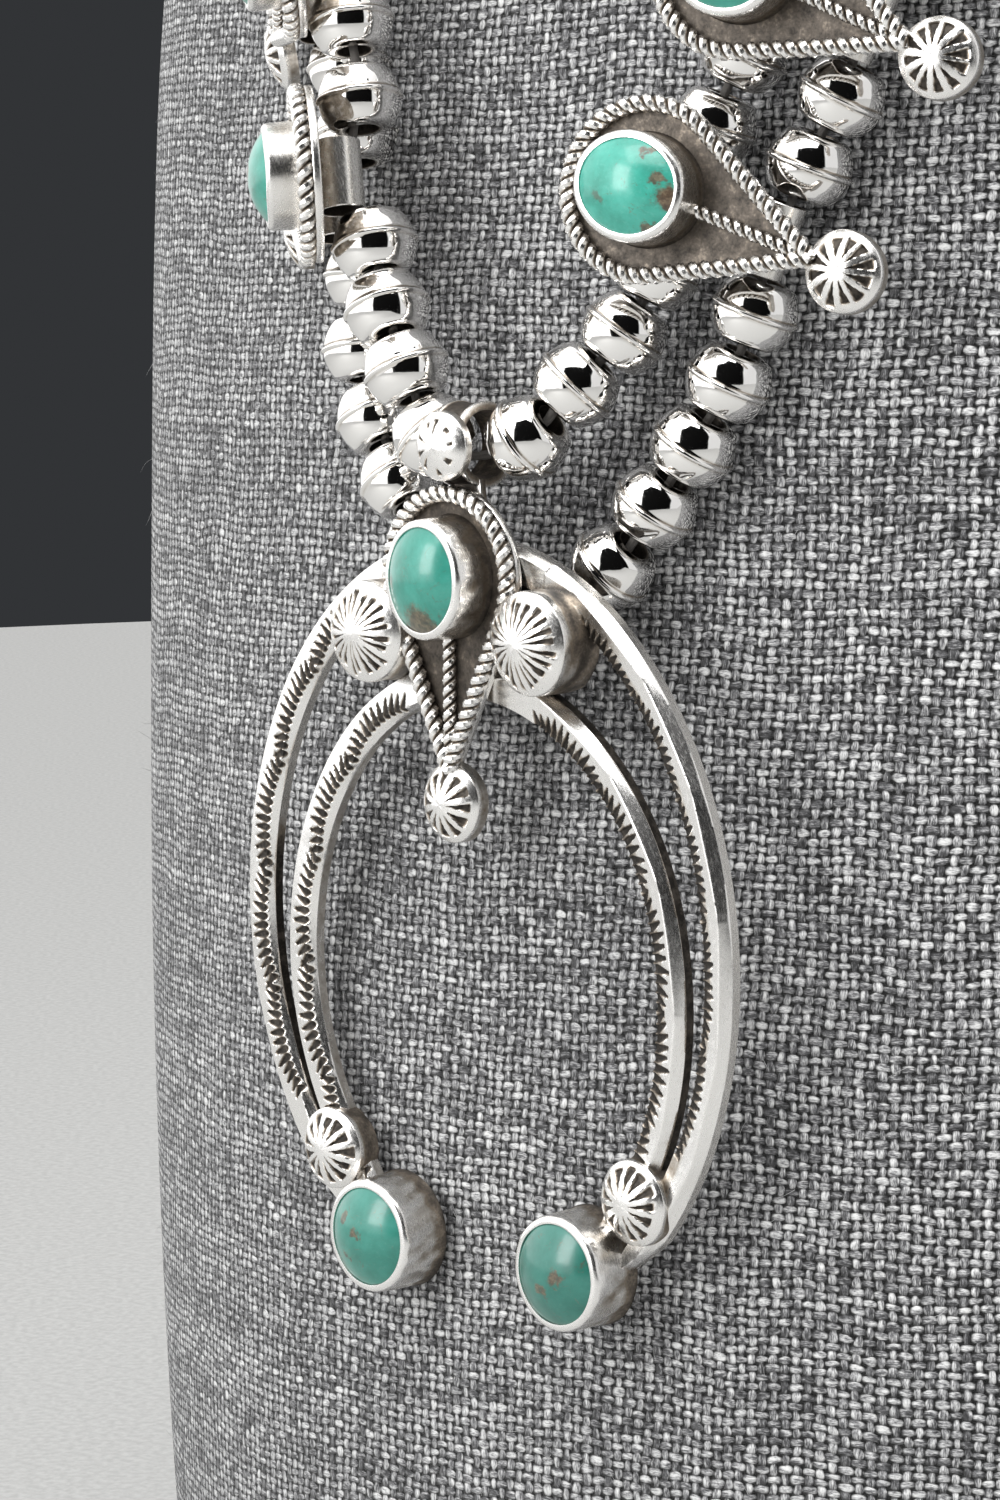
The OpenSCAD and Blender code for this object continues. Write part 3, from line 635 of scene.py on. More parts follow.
def fan_marks(bar, rng):
    """Ends of the stamped lines: distance along the bar, place across it, then the same for the far end."""
    w, marks = bar["w"], []
    radius = (bar["half"] + bar["rise"]) / 2
    per = math.radians(bar["fan"]) * radius
    count = round(0.9 * per / MARK_SPACING)
    middles = bar["first"] + bar["fan"] * np.arange(4, -5, -1)
    middles = middles[(middles >= FANS_FROM) & (middles <= bar["end"] - FANS_BEFORE_END)]
    for side in (-1, 1):
        for s in side * np.radians(middles) * radius:
            for u in np.linspace(-0.45, 0.45, count):
                tilt = math.radians(MARK_SPREAD * u + rng.uniform(-5, 5))
                bow = 1 - (2 * u) ** 2
                x0, length = -w / 2 + 0.25, bar["reach"] * (0.5 + 0.5 * bow)
                if side < 0:
                    x0, length = -w / 2 + 0.55 + 0.6 * bow, 1.25 + 0.5 * bow
                length *= rng.uniform(0.85, 1.1)
                s0, x1 = s + u * per, x0 + length * math.cos(tilt)
                marks.append((s0, x0, s0 + length * math.sin(tilt), min(x1, w / 2 - 0.3)))
    return marks


def stamp_mask(bar, along, x, rng):
    """How deep each point of a bar's top lies in the stamped lines, which narrow from root to tip."""
    mask = np.zeros_like(x)
    for s0, x0, s1, x1 in fan_marks(bar, rng):
        lo, hi = np.searchsorted(along, [min(s0, s1) - 0.4, max(s0, s1) + 0.4])
        if hi <= lo:
            continue
        px, ps = x[lo:hi] - x0, along[lo:hi, None] - s0
        dx, ds = x1 - x0, s1 - s0
        t = np.clip((px * dx + ps * ds) / (dx * dx + ds * ds), 0, 1)
        away = np.hypot(px - t * dx, ps - t * ds) / (MARK_HALF_W * (1.6 - 1.1 * t))
        mask[lo:hi] = np.maximum(mask[lo:hi], smooth(1.2, 0.7, away))
    return mask


def crescent_bar(name, bar, place, material, walls, seed, *nodes):
    """Bent bar of a crescent with fans stamped along it. walls gives the painted shade on its two walls."""
    rng = np.random.default_rng(seed)
    w, end = bar["w"], bar["end"]
    radius = (bar["half"] + bar["rise"]) / 2
    steps = int(2 * math.radians(end) * radius / BAR_STEP)
    a = np.linspace(-end, end, steps)
    rad, far = np.radians(a), np.abs(a)
    line = np.stack([bar["half"] * np.sin(rad), bar["rise"] * np.cos(rad) - bar["drop"]], -1)
    out = unit(np.stack([bar["rise"] * np.sin(rad), bar["half"] * np.cos(rad)], -1))
    lean = np.clip(0.5 + a / 24, 0, 1)
    scallop = SCALLOP * np.abs(np.cos((far - bar["first"]) / bar["fan"] * math.pi)) * (far > 20)
    ridge = mix((0.4 + 1.8 * scallop) / w, 0.82 - scallop / w, lean)
    x = np.tile(np.linspace(-w / 2, w / 2, BAR_COLUMNS), (steps, 1))
    mask = stamp_mask(bar, rad * radius, x, rng)
    worn = ripples(rng, 7, 9, 0.9, 0.021)
    z = bar_top(x, w, lean[:, None], ridge[:, None]) - MARK_DEPTH * mask + worn(rad[:, None] * 3, x)
    stamped = smooth(end - 13, end - 17, far) * smooth(21, 25, far)
    strip = 0.34 * stamped[:, None] * smooth(0.45, 0.3, x / w + 0.5) * lean[:, None]
    top_dark = np.clip(0.95 * mask + strip + 0.02, 0, 1)
    rise = np.array([0, 0.45, 0.9])
    inner_wall = np.stack([np.full((steps, 3), -w / 2), z[:, :1] * rise], -1)
    outer_wall = np.stack([np.full((steps, 3), w / 2), z[:, -1:] * rise[::-1]], -1)
    section = np.concatenate([inner_wall, np.stack([x, z], -1), outer_wall], 1)
    section[..., 0] *= mix(0.45, 1, np.clip((end - far) / 9, 0, 1))[:, None]
    inner_dark, outer_dark = (np.repeat(wall[:, None], 3, 1) for wall in walls(a))
    wobble = ripples(rng, 5, 7, 0.0, 0.12)
    middle = line + wobble(rad, 0)[:, None] * out
    xy = middle[:, None] + section[..., :1] * out[:, None]
    dark = np.concatenate([inner_dark, top_dark, outer_dark], 1)
    shape = Shape(place)
    shape.grid(np.concatenate([xy, section[..., 1:]], -1), dark, loop_v=True, start=[*line[0], 0.7],
               end=[*line[-1], 0.7])
    dress(shape, name, material, "silver", *nodes, sharp=42)


def inner_wall_shade(a):
    """Painted shade on the inner crescent's inner and outer walls, at angles in degrees; darker on the right
    arm.
    """
    return np.where(a > 0, 0.55, 0.3), np.where(a > 12, 0.92, 0.35)


def outer_wall_shade(a):
    """The same for the outer crescent. Low on its left, its inner wall is painted black for the shade in the
    gap between the two bars.
    """
    gap = mix(0.2, 0.97, smooth(-74, -82, a))
    return np.where(a < 0, gap, 0.55), np.where(a > 0, 0.16, 0.2)


def naja_center(shape, place, naja, rng):
    """The pendant's teardrop setting, and the tube behind it."""
    shape.place = place
    blossom_face(shape, rng, hammered=0.09)
    shape.place = naja
    middle = [0, NAJA_TUBE_UP, NAJA_PLATE_LIFT + 0.15 - TUBE_D / 2]
    tube(shape, middle, *np.eye(3), NAJA_TUBE_LEN, 0.5)


def bail(shape, naja, rng):
    """Strap bent into a loop, with a raised bright edge on both sides and a dark channel between."""
    t = circle(72)[:, None]
    front = [-1, -0.93, -0.8, -0.7, -0.4, 0, 0.4, 0.7, 0.8, 0.93, 1]
    back = [0.97, 0.4, -0.4, -0.97]
    x = np.array(front + back) * BAIL_W / 2
    raised = np.array([-0.08, 0, 0, -0.2, -0.24, -0.24, -0.24, -0.2, 0, 0, -0.08] + [-BAIL_T] * 4)
    dark = np.array([0.15, 0.0, 0.1, 0.8, 0.85, 0.85, 0.85, 0.8, 0.1, 0.0, 0.15] + [0.7] * 4)
    reach = BAIL_D / 2 + raised
    loop = np.stack([x + 0 * t, BAIL_UP + np.cos(t) * reach, BAIL_OUT + np.sin(t) * reach], -1)
    shape.grid(loop, dark, loop_u=True, loop_v=True)
    low, high = NAJA_STONE_UP + HEAD_W / 2 - 4.5, BAIL_UP - BAIL_D / 2 + BAIL_T
    share = np.linspace(0, 1, 24)[:, None]
    z = NAJA_PLATE_LIFT + mix(-0.1, -0.35, share) + raised
    strap = np.stack([mix(1.35, 1.0, share) * x, mix(low, high, share) + 0 * x, z], -1)
    shape.grid(strap, dark, loop_v=True, start=strap[0].mean(0), end=strap[-1].mean(0))
    shape.place = naja.moved(0, BAIL_UP, BAIL_BUTTON_OUT)
    button(shape, 0.88 * BUTTON_D, 0, 0.9, 0.8 * BUTTON_DOME, rng, count=9, inner=0.42, outer=0.8, fill=0.4,
           depth=0.22, rough=1.3, wall=0.3)


def naja(places, material):
    """All of the pendant's silver, as a few pieces that stand for one soldered node."""
    frame = places["naja"]
    crescent_bar("naja_inner_crescent", INNER_BAR, frame, material, inner_wall_shade, 71, "naja")
    crescent_bar("naja_outer_crescent", OUTER_BAR, frame, material, outer_wall_shade, 72)
    rng = np.random.default_rng(73)
    shape = Shape(frame)
    naja_center(shape, places["naja_stone_center"], frame, rng)
    dress(shape, "naja_setting", material, "silver")
    shape = Shape(frame)
    bail(shape, frame, rng)
    dress(shape, "naja_bail", material, "silver")
    shape = Shape(frame)
    for side in (-1, 1):
        shape.place = frame.moved(side * BIG_BUTTON_X, BIG_BUTTON_UP, 0, 40 * side)
        button(shape, BIG_BUTTON_D, 0, BIG_BUTTON_TOP, BIG_BUTTON_DOME, rng, count=22, inner=0.22, outer=0.86,
               fill=0.62, depth=0.34, rough=1.1, wall=0.62, wall_bumps=0.09, steps=176)
        shape.place = frame.moved(side * END_BUTTON_X, END_BUTTON_UP, 0)
        button(shape, END_BUTTON_D, 0, BAR_RIDGE_T + BUTTON_T, BUTTON_DOME, rng, count=13, wall=0.6,
               wall_bumps=0.05)
        shape.place = places["naja_stone_left" if side < 0 else "naja_stone_right"]
        bezel(shape, END_STONE_D, END_STONE_D, END_BEZEL_H, rng, bumps=0.07, wall=0.24)
        floor = oval(END_STONE_D / 2, END_STONE_D / 2, 48, STONE_GAP + BEZEL_WALL)[0]
        rows = [np.insert(floor * k, 2, z, axis=1) for k, z in ((0.98, 0), (1, 0.1), (0.97, 0.7))]
        shape.grid(np.array(rows), 0.5, loop_v=True, start=[0, 0, 0], end=[0, 0, 0.7])
    dress(shape, "naja_buttons_and_bezels", material, "silver")


# Bust


def bust_rings(node, heights):
    """Smooth rings of the bust at even angles, read from its solid."""
    co, _ = mesh_arrays(node)
    levels = np.unique(np.round(co[:, 2], 5))
    angle = (circle(BUST_COLUMNS) + math.pi) % (2 * math.pi)
    read = []
    for z in levels:
        ring = np.unique(np.round(co[np.abs(co[:, 2] - z) < 1e-5], 7), axis=0)
        middle = (ring.min(0) + ring.max(0)) / 2
        away = ring[:, :2] - middle[:2]
        reach = np.hypot(*away.T)
        keep = reach > 0.3 * np.ptp(ring[:, 1])
        away, reach = away[keep], reach[keep]
        a = np.arctan2(away[:, 0], -away[:, 1]) % (2 * math.pi)
        order = np.argsort(a)
        a, reach = a[order], reach[order]
        reach = np.interp(angle, np.concatenate([a - 2 * math.pi, a, a + 2 * math.pi]), np.tile(reach, 3))
        wide = np.concatenate([reach[-8:], reach, reach[:8]])
        reach = np.convolve(wide, np.ones(9) / 9, "same")[8:-8] + 0.1 * MM
        read.append(np.stack([middle[0] + reach * np.sin(angle), middle[1] - reach * np.cos(angle)], -1))
    read = np.array(read)
    out = np.apply_along_axis(lambda line: np.interp(heights, levels, line), 0, read)
    width = 9
    kernel = np.ones(2 * width + 1) / (2 * width + 1)
    row = np.arange(len(heights))
    near_end = np.minimum(1, np.minimum(row, row[::-1]) / width)[:, None, None]
    for _ in range(2):
        padded = np.concatenate([np.repeat(out[:1], width, 0), out, np.repeat(out[-1:], width, 0)])
        soft = np.apply_along_axis(lambda line: np.convolve(line, kernel, "valid"), 0, padded)
        out = mix(out, soft, near_end)
    return np.concatenate([out, np.broadcast_to(heights[:, None, None], (*out.shape[:2], 1))], -1)


def bust(node, material):
    """Linen skin with rounded edges, pressed in a little at one side. Gives its points."""
    low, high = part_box("bust")
    heights = np.linspace(low.z, high.z, BUST_ROWS)
    edge = BUST_EDGE_R * MM
    p = bust_rings(node, heights)
    middle = p.mean(1, keepdims=True)
    away = (p - middle)[..., :2]
    near = np.minimum(heights - low.z, high.z - heights).clip(0, edge) / edge
    inset = edge * (1 - np.sqrt(1 - (1 - near) ** 2))
    turn = np.degrees(np.arctan2(away[..., 0], -away[..., 1]))
    pressed = FLAT_DEPTH * MM * np.exp(-(((turn - FLAT_TURN) / FLAT_SPREAD) ** 2))
    length = np.linalg.norm(away, axis=-1)
    p[..., :2] = middle[..., :2] + away * (1 - (inset[:, None] + pressed) / length)[..., None]
    p = np.concatenate([p, p[:, :1]], 1)
    around = np.linalg.norm(np.diff(p, axis=1), axis=2)
    u = np.concatenate([np.zeros((len(p), 1)), np.cumsum(around, 1)], 1)
    u -= u[:, [BUST_COLUMNS // 2]]
    up = np.linalg.norm(np.diff(p, axis=0), axis=2)
    v = np.concatenate([np.zeros((1, p.shape[1])), np.cumsum(up, 0)])
    shape = Shape()
    shape.grid(p, 0, start=[*p[0, :-1, :2].mean(0), low.z], end=[*p[-1, :-1, :2].mean(0), high.z],
               uv=np.stack([u, v], -1))
    dress(shape, "bust_linen", material, "linen", "bust", sharp=60)
    return p


def fibres(surface, material):
    """Short loose hairs that stand off the linen."""
    rng = np.random.default_rng(5)
    rows, cols = surface.shape[:2]
    shape = Shape()
    middle = surface[:, :-1].mean(1)
    for _ in range(HAIRS):
        i, j = int(rng.integers(4, rows - 8)), int(rng.integers(0, cols - 1))
        p = mix(surface[i, j], surface[i + 1, j], rng.random())
        n = unit(np.append((surface[i, j] - middle[i])[:2], 0))
        side = unit(np.cross(n, [0, 0, 1]))
        a = rng.uniform(0, 2 * math.pi)
        flat = math.cos(a) * side + math.sin(a) * np.array([0, 0, 1.0])
        length = rng.uniform(1.2, 3.4) * MM
        stand = rng.uniform(0.15, 0.5)
        bend = rng.uniform(-0.6, 0.6)
        t = np.linspace(0, 1, 5)[:, None]
        cross = np.cross(n, flat)
        rise = 1.2 * stand * t * (1 - 0.7 * t)
        line = p - 0.1 * MM * n + length * (t * flat + bend * t * t * cross + rise * n)
        ring = [HAIR_R * MM * (math.cos(b) * n + math.sin(b) * cross) for b in (0, 2.1, 4.2)]
        shape.grid(line[:, None] + np.array(ring)[None] * (1.1 - t)[:, None], 0, loop_v=True)
    dress(shape, "linen_fibres", material, "linen")


# Materials


class Nodes:
    """Short way to write a tree of shader nodes."""

    def __init__(self, tree):
        self.tree = tree

    def put(self, socket, value):
        if isinstance(value, bpy.types.NodeSocket):
            self.tree.links.new(value, socket)
        else:
            socket.default_value = value

    def node(self, kind, inputs, out=0, **settings):
        """A new node with these settings, and inputs by number or name. Gives one of its outputs."""
        node = self.tree.nodes.new("ShaderNode" + kind)
        for name, value in settings.items():
            setattr(node, name, value)
        for key, value in inputs.items():
            self.put(node.inputs[key], value)
        return node.outputs[out]

    def math(self, operation, *values, clamp=False):
        return self.node("Math", dict(enumerate(values)), operation=operation, use_clamp=clamp)

    def add(self, a, b, clamp=False):
        return self.math("ADD", a, b, clamp=clamp)

    def sub(self, a, b):
        return self.math("SUBTRACT", a, b)

    def times(self, a, b):
        return self.math("MULTIPLY", a, b)

    def length(self, a, b):
        return self.math("SQRT", self.add(self.times(a, a), self.times(b, b)))

    def step(self, value, lo, hi, a=0.0, b=1.0):
        """Goes smoothly from a to b while the value goes from lo to hi."""
        return self.node("MapRange", dict(enumerate((value, lo, hi, a, b))), interpolation_type="SMOOTHSTEP")

    def mix(self, share, a, b, blend="MIX"):
        return self.node("Mix", {0: share, 6: a, 7: b}, 2, data_type="RGBA", blend_type=blend)

    def ramp(self, value, stops):
        node = self.tree.nodes.new("ShaderNodeValToRGB")
        points = node.color_ramp.elements
        while len(points) < len(stops):
            points.new(0.5)
        for point, (place, colour) in zip(points, stops):
            point.position = place
            point.color = (*colour, 1)
        self.put(node.inputs[0], value)
        return node.outputs[0]

    def coords(self, scale=(1, 1, 1), uv=None):
        """Place in the piece in metres, or on a uv layer, times a scale."""
        at = self.node("UVMap", {}, uv_map=uv) if uv else self.node("TexCoord", {}, "Object")
        return self.node("VectorMath", {0: at, 1: scale}, operation="MULTIPLY")

    def split(self, vector):
        return tuple(self.node("SeparateXYZ", {0: vector}).node.outputs)

    def join(self, x, y, z=0.0):
        return self.node("CombineXYZ", {0: x, 1: y, 2: z})

    def noise(self, vector, scale, detail, rough=0.5, distortion=0.0, colour=False):
        inputs = {"Vector": vector, "Scale": scale, "Detail": detail, "Roughness": rough}
        return self.node("TexNoise", inputs | {"Distortion": distortion}, 1 if colour else 0)

    def bump(self, height, distance, strength):
        return self.node("Bump", {"Height": height, "Distance": distance, "Strength": strength})


class Surface(Nodes):
    """The nodes of a new material with one principled shader."""

    def __init__(self, name):
        self.material = bpy.data.materials.new(name)
        self.material.use_nodes = True
        super().__init__(self.material.node_tree)
        self.tree.nodes.clear()
        self.shader = self.tree.nodes.new("ShaderNodeBsdfPrincipled")
        out = self.tree.nodes.new("ShaderNodeOutputMaterial")
        self.tree.links.new(self.shader.outputs[0], out.inputs[0])

    def set(self, **values):
        for name, value in values.items():
            self.put(self.shader.inputs[name.replace("_", " ")], value)


def silver_material(name, polish, brushed):
    """Metal that goes from bright to brown and black with the mesh's darkness, which holds oxide and painted
    shade.
    """
    n = Surface(name)
    at = n.coords()
    tarnish_and_shade = n.node("Attribute", {}, "Fac", attribute_name="tarnish_and_shade")
    cloudy = n.noise(at, 700, 4, 0.6)
    fine = n.noise(at, 3500, 3, 0.6)
    dark = n.add(tarnish_and_shade, n.times(n.sub(cloudy, 0.5), n.step(tarnish_and_shade, 0.05, 0.5, 0.1, 0.75)), clamp=True)
    dark = n.add(dark, n.times(n.sub(fine, 0.5), n.step(tarnish_and_shade, 0.1, 0.6, 0.0, 0.4)), clamp=True)
    colour = n.ramp(dark, [
        (0.0, (0.96, 0.945, 0.925)), (0.2, (0.84, 0.81, 0.765)), (0.45, (0.36, 0.305, 0.245)),
        (0.72, (0.11, 0.093, 0.077)), (1.0, (0.014, 0.011, 0.008)),
    ])
    scratches = n.noise(n.coords((1500, 6500, 1500)), 1.0, 3, 0.65)
    rough = n.step(scratches, 0.45, 0.8, 0.0, 0.06 + 0.3 * polish)
    rough = n.add(n.step(dark, 0.1, 0.8, polish, 0.46), rough)
    height = n.add(n.times(n.noise(at, 420, 2, 0.5), 0.8), n.times(fine, n.step(dark, 0.1, 0.7, 0.01, 0.35)))
    height = n.add(height, n.times(scratches, brushed))
    n.set(Base_Color=colour, Metallic=n.step(dark, 0.35, 1.0, 1.0, 0.55), Roughness=rough,
          Normal=n.bump(height, 0.00006, 0.5))
    return n.material


def turquoise_material(name, patches, seed, tint):
    """Polished stone. patches has rows of place along and across the stone, size and strength."""
    n = Surface(name)
    x, y, _ = n.split(n.coords(uv="face"))
    shifted = n.join(n.add(x, seed * 3.7), n.add(y, seed * 1.9), seed * 0.61)
    colour = n.ramp(n.noise(shifted, 1.6, 5, 0.62), [
        (0.25, (0.022, 0.27, 0.2)), (0.45, (0.036, 0.36, 0.275)),
        (0.6, (0.055, 0.43, 0.335)), (0.8, (0.1, 0.5, 0.41)),
    ])
    speckle = n.noise(shifted, 13, 4, 0.7)
    colour = n.mix(n.step(speckle, 0.52, 0.75, 0.0, 0.25), colour, (0.2, 0.55, 0.46, 1))
    colour = n.mix(1.0, colour, (tint, tint, tint, 1), "MULTIPLY")
    edge = n.noise(shifted, 4.2, 6, 0.75)
    wx, wy, _ = n.split(n.noise(shifted, 2.1, 3, 0.6, colour=True))
    vein = n.math("ABSOLUTE", n.sub(n.noise(shifted, 1.3, 4, 0.6, 0.8), 0.5))
    matrix = n.times(n.step(vein, 0.014, 0.002), n.step(edge, 0.48, 0.62, 0.0, 0.45))
    for px, py, size, strength in patches:
        dx = n.add(n.sub(x, px), n.times(n.sub(wx, 0.5), 0.5))
        dy = n.add(n.sub(y, py), n.times(n.sub(wy, 0.5), 0.5))
        far = n.add(n.length(dx, dy), n.times(n.sub(edge, 0.5), 1.1 * size + 0.34))
        matrix = n.math("MAXIMUM", matrix, n.step(far, size, size * 0.6 - 0.02, 0.0, strength))
    brown = n.ramp(n.noise(shifted, 9, 4, 0.65), [
        (0.3, (0.035, 0.024, 0.014)), (0.5, (0.1, 0.062, 0.034)),
        (0.68, (0.2, 0.15, 0.09)), (0.8, (0.16, 0.2, 0.15)),
    ])
    n.set(Base_Color=n.mix(matrix, colour, brown), Roughness=n.step(matrix, 0.2, 1.0, 0.3, 0.45),
          Normal=n.bump(edge, 0.00004, 0.3), Coat_Weight=0.6, Coat_Roughness=0.13, IOR=1.55)
    return n.material


def linen_material():
    """Plain weave of grey mottled yarns, thicker across than up. Its uv layer holds metres."""
    n = Surface("linen")
    x, y, _ = n.split(n.coords((1000, 1000, 1), uv="face"))
    wx, wy, _ = n.split(n.noise(n.join(n.times(x, 0.05), n.times(y, 0.05)), 1.0, 3, 0.6, colour=True))
    jx, jy, _ = n.split(n.noise(n.join(x, y), 0.55, 2, 0.6, colour=True))
    u = n.math("DIVIDE", n.add(n.add(x, n.times(wx, 3.0)), n.times(jx, 0.55)), YARN_ACROSS)
    v = n.math("DIVIDE", n.add(n.add(y, n.times(wy, 3.0)), n.times(jy, 0.42)), YARN_UP)
    cu, cv = n.math("FLOOR", u), n.math("FLOOR", v)

    def over(cell, along):
        """Above 0 where a yarn passes over the crossing ones."""
        sign = n.math("COSINE", n.times(cell, math.pi))
        return n.times(sign, n.math("COSINE", n.times(n.sub(along, 0.5), math.pi)))

    def round_yarn(place, cell, wide):
        q = n.math("DIVIDE", n.times(n.sub(n.sub(place, cell), 0.5), 2.0), wide)
        return n.math("SQRT", n.math("MAXIMUM", n.sub(1.0, n.times(q, q)), 0.0))

    def yarn(cell, along, across, seed):
        """Tone and fine hairs of the yarns that run one way."""
        tone = n.node("TexWhiteNoise", {0: n.join(cell, seed)}, noise_dimensions="3D")
        streak = n.join(n.times(along, 0.48), n.times(across, 1.2), n.times(cell, 7.31))
        hair = n.noise(n.join(n.times(along, 1.1), n.times(across, 11.0), seed), 1.0, 2, 0.6)
        total = n.add(n.times(tone, 0.1), n.times(n.noise(streak, 1.0, 4, 0.75), 1.06))
        return n.add(total, n.times(hair, 0.46)), hair

    warp_wide = n.step(n.noise(n.join(n.times(cu, 5.3), n.times(y, 0.5)), 1.0, 2), 0.3, 0.7, 0.5, 0.86)
    weft_wide = n.step(n.noise(n.join(n.times(x, 0.45), n.times(cv, 4.7)), 1.0, 2), 0.3, 0.7, 0.6, 0.98)
    warp = n.math("MULTIPLY_ADD", over(cu, v), 0.5, n.times(round_yarn(u, cu, warp_wide), 0.62))
    weft = n.math("MULTIPLY_ADD", over(cv, u), -0.5, n.times(round_yarn(v, cv, weft_wide), 0.62))
    height = n.math("MAXIMUM", warp, weft)
    is_warp = n.step(n.sub(warp, weft), -0.03, 0.03)
    tone, hair = (n.node("Mix", {0: is_warp, 2: weft_value, 3: warp_value})
                  for weft_value, warp_value in zip(yarn(cv, x, y, 2.0), yarn(cu, y, x, 1.0)))
    colour = n.ramp(n.step(tone, 0.57, 1.05), [
        (0.0, (0.03, 0.03, 0.031)), (0.3, (0.13, 0.13, 0.135)), (0.55, (0.34, 0.34, 0.345)),
        (0.8, (0.62, 0.62, 0.62)), (1.0, (0.8, 0.8, 0.79)),
    ])
    # Painted shade: the colour darkens to near black where the weave sinks between the yarns.
    deep = n.step(height, 0.27, 0.86, 0.004, 1.04)
    colour = n.mix(1.0, colour, n.join(deep, deep, deep), "MULTIPLY")
    relief = n.math("MULTIPLY_ADD", hair, 0.35, height)
    n.set(Base_Color=colour, Roughness=0.92, Normal=n.bump(relief, 0.0004, 0.9), Sheen_Weight=0.25,
          Specular_IOR_Level=0.25)
    return n.material


def plain_material(name, colour, roughness, grain_scale=900):
    n = Surface(name)
    grain = n.noise(n.coords(), grain_scale, 3, 0.6)
    dark = tuple(0.82 * c for c in colour)
    n.set(Base_Color=n.ramp(grain, [(0.35, dark), (0.65, colour)]), Roughness=roughness,
          Normal=n.bump(grain, 0.0002, 0.4))
    return n.material


# Scene


def direction(azimuth, elevation):
    """Unit vector from angles in degrees: 0 is in front of the bust, 90 at its left side."""
    a, e = math.radians(azimuth), math.radians(elevation)
    return Vector((math.sin(a) * math.cos(e), -math.cos(a) * math.cos(e), math.sin(e)))


def add_light(name, azimuth, elevation, distance, size, power, target):
    """Soft rectangular light that faces the target."""
    towards = direction(azimuth, elevation)
    data = bpy.data.lights.new(name, "AREA")
    data.shape = "RECTANGLE"
    data.size, data.size_y = size
    data.energy = power
    obj = bpy.data.objects.new(name, data)
    obj.location = target + distance * towards
    obj.rotation_euler = towards.to_track_quat("Z", "Y").to_euler()
    obj.visible_camera = False
    bpy.context.scene.collection.objects.link(obj)


def camera():
    """The photo's camera. Gives the point that it looks at."""
    target = Vector(CAMERA_TARGET) * MM
    back = direction(CAMERA_AZIMUTH, CAMERA_ELEVATION)
    right = direction(CAMERA_AZIMUTH + 90, 0)
    up = back.cross(right)
    roll = math.radians(CAMERA_ROLL)
    right, up = (right * math.cos(roll) + up * math.sin(roll), up * math.cos(roll) - right * math.sin(roll))
    data = bpy.data.cameras.new("camera")
    data.sensor_fit = "VERTICAL"
    data.sensor_height = SENSOR
    data.lens = SENSOR * FOCAL_PX / PHOTO_H_PX
    data.clip_start = 0.01
    obj = bpy.data.objects.new("camera", data)
    place = target + CAMERA_DISTANCE * MM * back
    obj.matrix_world = Matrix(list(zip((*right, 0), (*up, 0), (*back, 0), (*place, 1))))
    bpy.context.scene.collection.objects.link(obj)
    bpy.context.scene.camera = obj
    return target


def studio(target):
    bpy.ops.mesh.primitive_circle_add(vertices=96, radius=1.6, fill_type="NGON", location=(0, 0, 0))
    floor = bpy.context.active_object
    floor.name = "floor"
    floor.data.materials.append(plain_material("floor", (0.5, 0.5, 0.49), 0.8, 700))
    world = bpy.data.worlds.new("world")
    bpy.context.scene.world = world
    world.use_nodes = True
    light_tent(world.node_tree)
    add_light("soft_left", -14, 24, 0.75, (0.3, 0.5), 2.4, target)
    add_light("soft_top", 30, 68, 0.7, (0.6, 0.4), 2.4, target)
    bpy.context.scene.view_settings.view_transform = "Standard"


def light_tent(tree):
    """Even light from all round, brightest from the left and above, with a dark opening round the camera."""
    n = Nodes(tree)
    way = n.node("TexCoord", {}, "Generated")
    towards = direction(CAMERA_AZIMUTH, 8.0)
    right = direction(CAMERA_AZIMUTH + 90, 0)
    key = Vector((-0.55, -0.6, 0.6)).normalized()
    ahead, sideways, height, bright = (
        n.node("VectorMath", {0: way, 1: axis}, "Value", operation="DOT_PRODUCT")
        for axis in (towards, right, towards.cross(right), key)
    )
    turn = n.math("ABSOLUTE", n.math("ARCTAN2", sideways, ahead))
    lift = n.math("ARCTAN2", height, n.length(ahead, sideways))
    lift = n.math("ABSOLUTE", n.sub(lift, math.radians(10)))
    opening = n.times(n.step(turn, *np.radians([40, 35])), n.step(lift, *np.radians([46, 41])))
    glow = n.times(n.step(bright, -0.5, 0.8, 0.75, 1.5), n.step(opening, 0.0, 1.0, 1.0, 0.004))
    fill = n.step(bright, -0.8, 0.8, 1.36, 0.97)
    rays = tree.nodes.new("ShaderNodeLightPath").outputs
    colour = n.mix(rays["Is Diffuse Ray"], n.join(glow, glow, glow), n.join(fill, fill, fill))
    colour = n.mix(rays["Is Camera Ray"], colour, (0.032, 0.034, 0.037, 1))
    n.put(tree.nodes["Background"].inputs[0], colour)


def find_places(nodes):
    """Where each setting is, by the name of its stone, and where the naja is."""
    lift = BEZEL_FLOOR + STONE_GAP
    places = {}
    for node in nodes:
        if node.startswith("stone_"):
            owner = nodes[node.replace("stone", "blossom")]
            places[node] = stone_place(nodes[node], PLATE_T + lift, mesh_arrays(owner)[0].mean(0))
    under = np.array([0, 0, -1.0])
    places["naja_stone_center"] = stone_place(nodes["naja_stone_center"], PLATE_T + lift, under)
    left, right = (stone_place(nodes["naja_stone_" + side], lift, under) for side in ("left", "right"))
    out = left.axes[2]
    across = unit(right.origin - left.origin)
    up = np.cross(out, across)
    middle = (left.origin + right.origin) / 2
    places["naja"] = Place(middle - END_STONE_UP * MM * up, across, up, out)
    places["naja_stone_left"] = Place(left.origin, across, up, out)
    places["naja_stone_right"] = Place(right.origin, across, up, out)
    return places


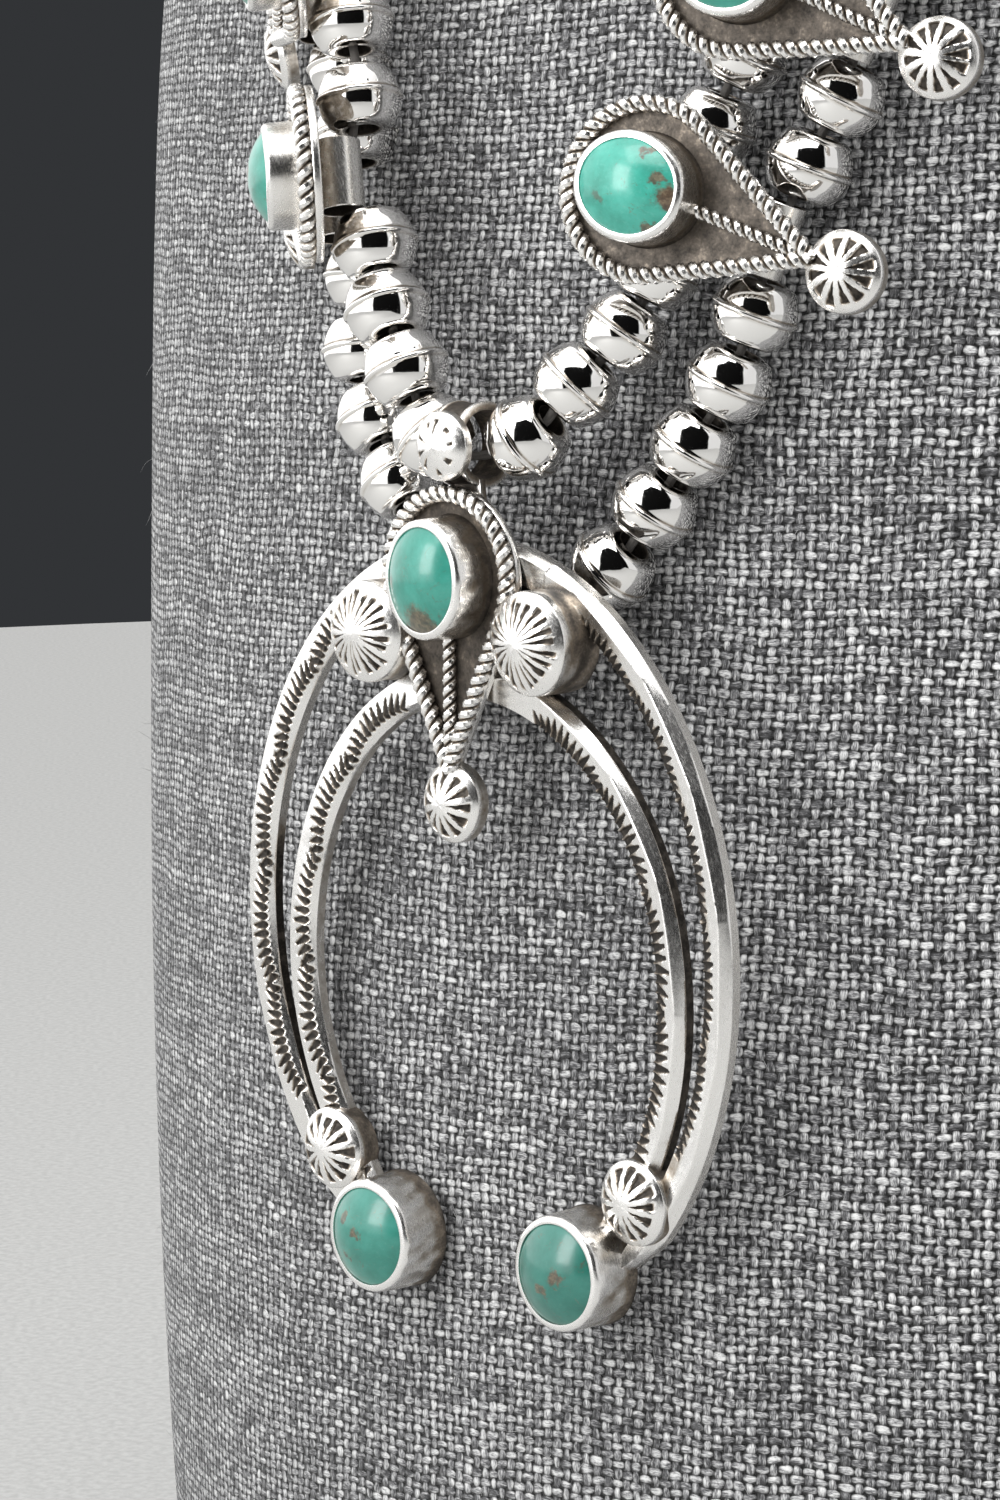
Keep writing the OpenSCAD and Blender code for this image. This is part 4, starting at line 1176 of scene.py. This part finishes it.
def stones(nodes, places):
    """All the turquoise stones. Those that the photo shows have its tones and brown patches."""
    seen = {
        "naja_stone_center": (0.68, [(0.95, 0.1, 0.62, 0.9), (0.05, -0.8, 0.2, 0.6)]),
        "naja_stone_left": (0.55, [(0, 0.1, 0.15, 0.9), (-0.45, 0.35, 0.13, 0.8), (-0.3, -0.35, 0.13, 0.8)]),
        "naja_stone_right": (0.42, [(0.3, 0.0, 0.24, 0.9), (-0.1, -0.3, 0.16, 0.8), (0.8, 0.3, 0.1, 0.7)]),
        "stone_right_1": (0.95, [
            (0.98, 0.1, 0.34, 1), (0.6, 0.35, 0.16, 0.9), (0.15, 0.85, 0.14, 0.9),
            (-0.35, -0.45, 0.16, 0.6), (0.72, -0.6, 0.16, 0.9),
        ]),
    }
    for k, node in enumerate(sorted(n for n in nodes if "stone" in n)):
        rng = np.random.default_rng(90 + k)
        end = node in ("naja_stone_left", "naja_stone_right")
        shape = Shape(places[node] if end else places[node].moved(0, 0, PLATE_T))
        size = (END_STONE_D, END_STONE_D, END_BEZEL_H) if end else (STONE_W, STONE_L, BEZEL_H)
        stone(shape, *size, rng)
        tint, spots = seen.get(node, (0.8, None))
        if not spots:
            spots = [(*rng.uniform(-0.8, 0.8, 2), rng.uniform(0.08, 0.3), 0.9) for _ in range(3)]
        material = turquoise_material("turquoise_" + node, spots, k + 1, tint)
        dress(shape, node + "_polished", material, "turquoise", node, sharp=60)


def threads(nodes, material):
    """The part's own threads, rounded."""
    for name in ("thread_inner", "thread_outer"):
        obj = nodes[name]
        obj.data.materials.clear()
        obj.data.materials.append(material)
        obj.modifiers.new("weld", "WELD").merge_threshold = 0.01 * MM
        soft = obj.modifiers.new("soft", "SUBSURF")
        soft.levels = soft.render_levels = 1


def main():
    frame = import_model()
    nodes = frame["nodes"]
    bright = silver_material("silver_polished", 0.05, 0.0)
    silver = silver_material("silver_satin", 0.24, 0.35)
    places = find_places(nodes)

    surface = bust(nodes["bust"], linen_material())
    fibres(surface, plain_material("fibre", (0.5, 0.5, 0.5), 0.8))
    strings = [f"beads_{strand}_{side}" for strand in ("inner", "outer") for side in ("left", "right")]
    for k, name in enumerate(strings):
        bead_string(name, nodes[name], bright, 11 + k)
    for k, side in enumerate(("left", "right")):
        for i in range(1, BLOSSOMS + 1):
            rng = np.random.default_rng(30 + 10 * k + i)
            blossom(f"blossom_{side}_{i}", places[f"stone_{side}_{i}"], rng, silver)
    naja(places, silver)
    stones(nodes, places)
    threads(nodes, plain_material("cord", (0.13, 0.12, 0.11), 0.7, 4000))
    clasp = nodes["clasp"]
    clasp.data.materials.clear()
    clasp.data.materials.append(silver)

    studio(camera())
    bpy.context.view_layer.update()


main()
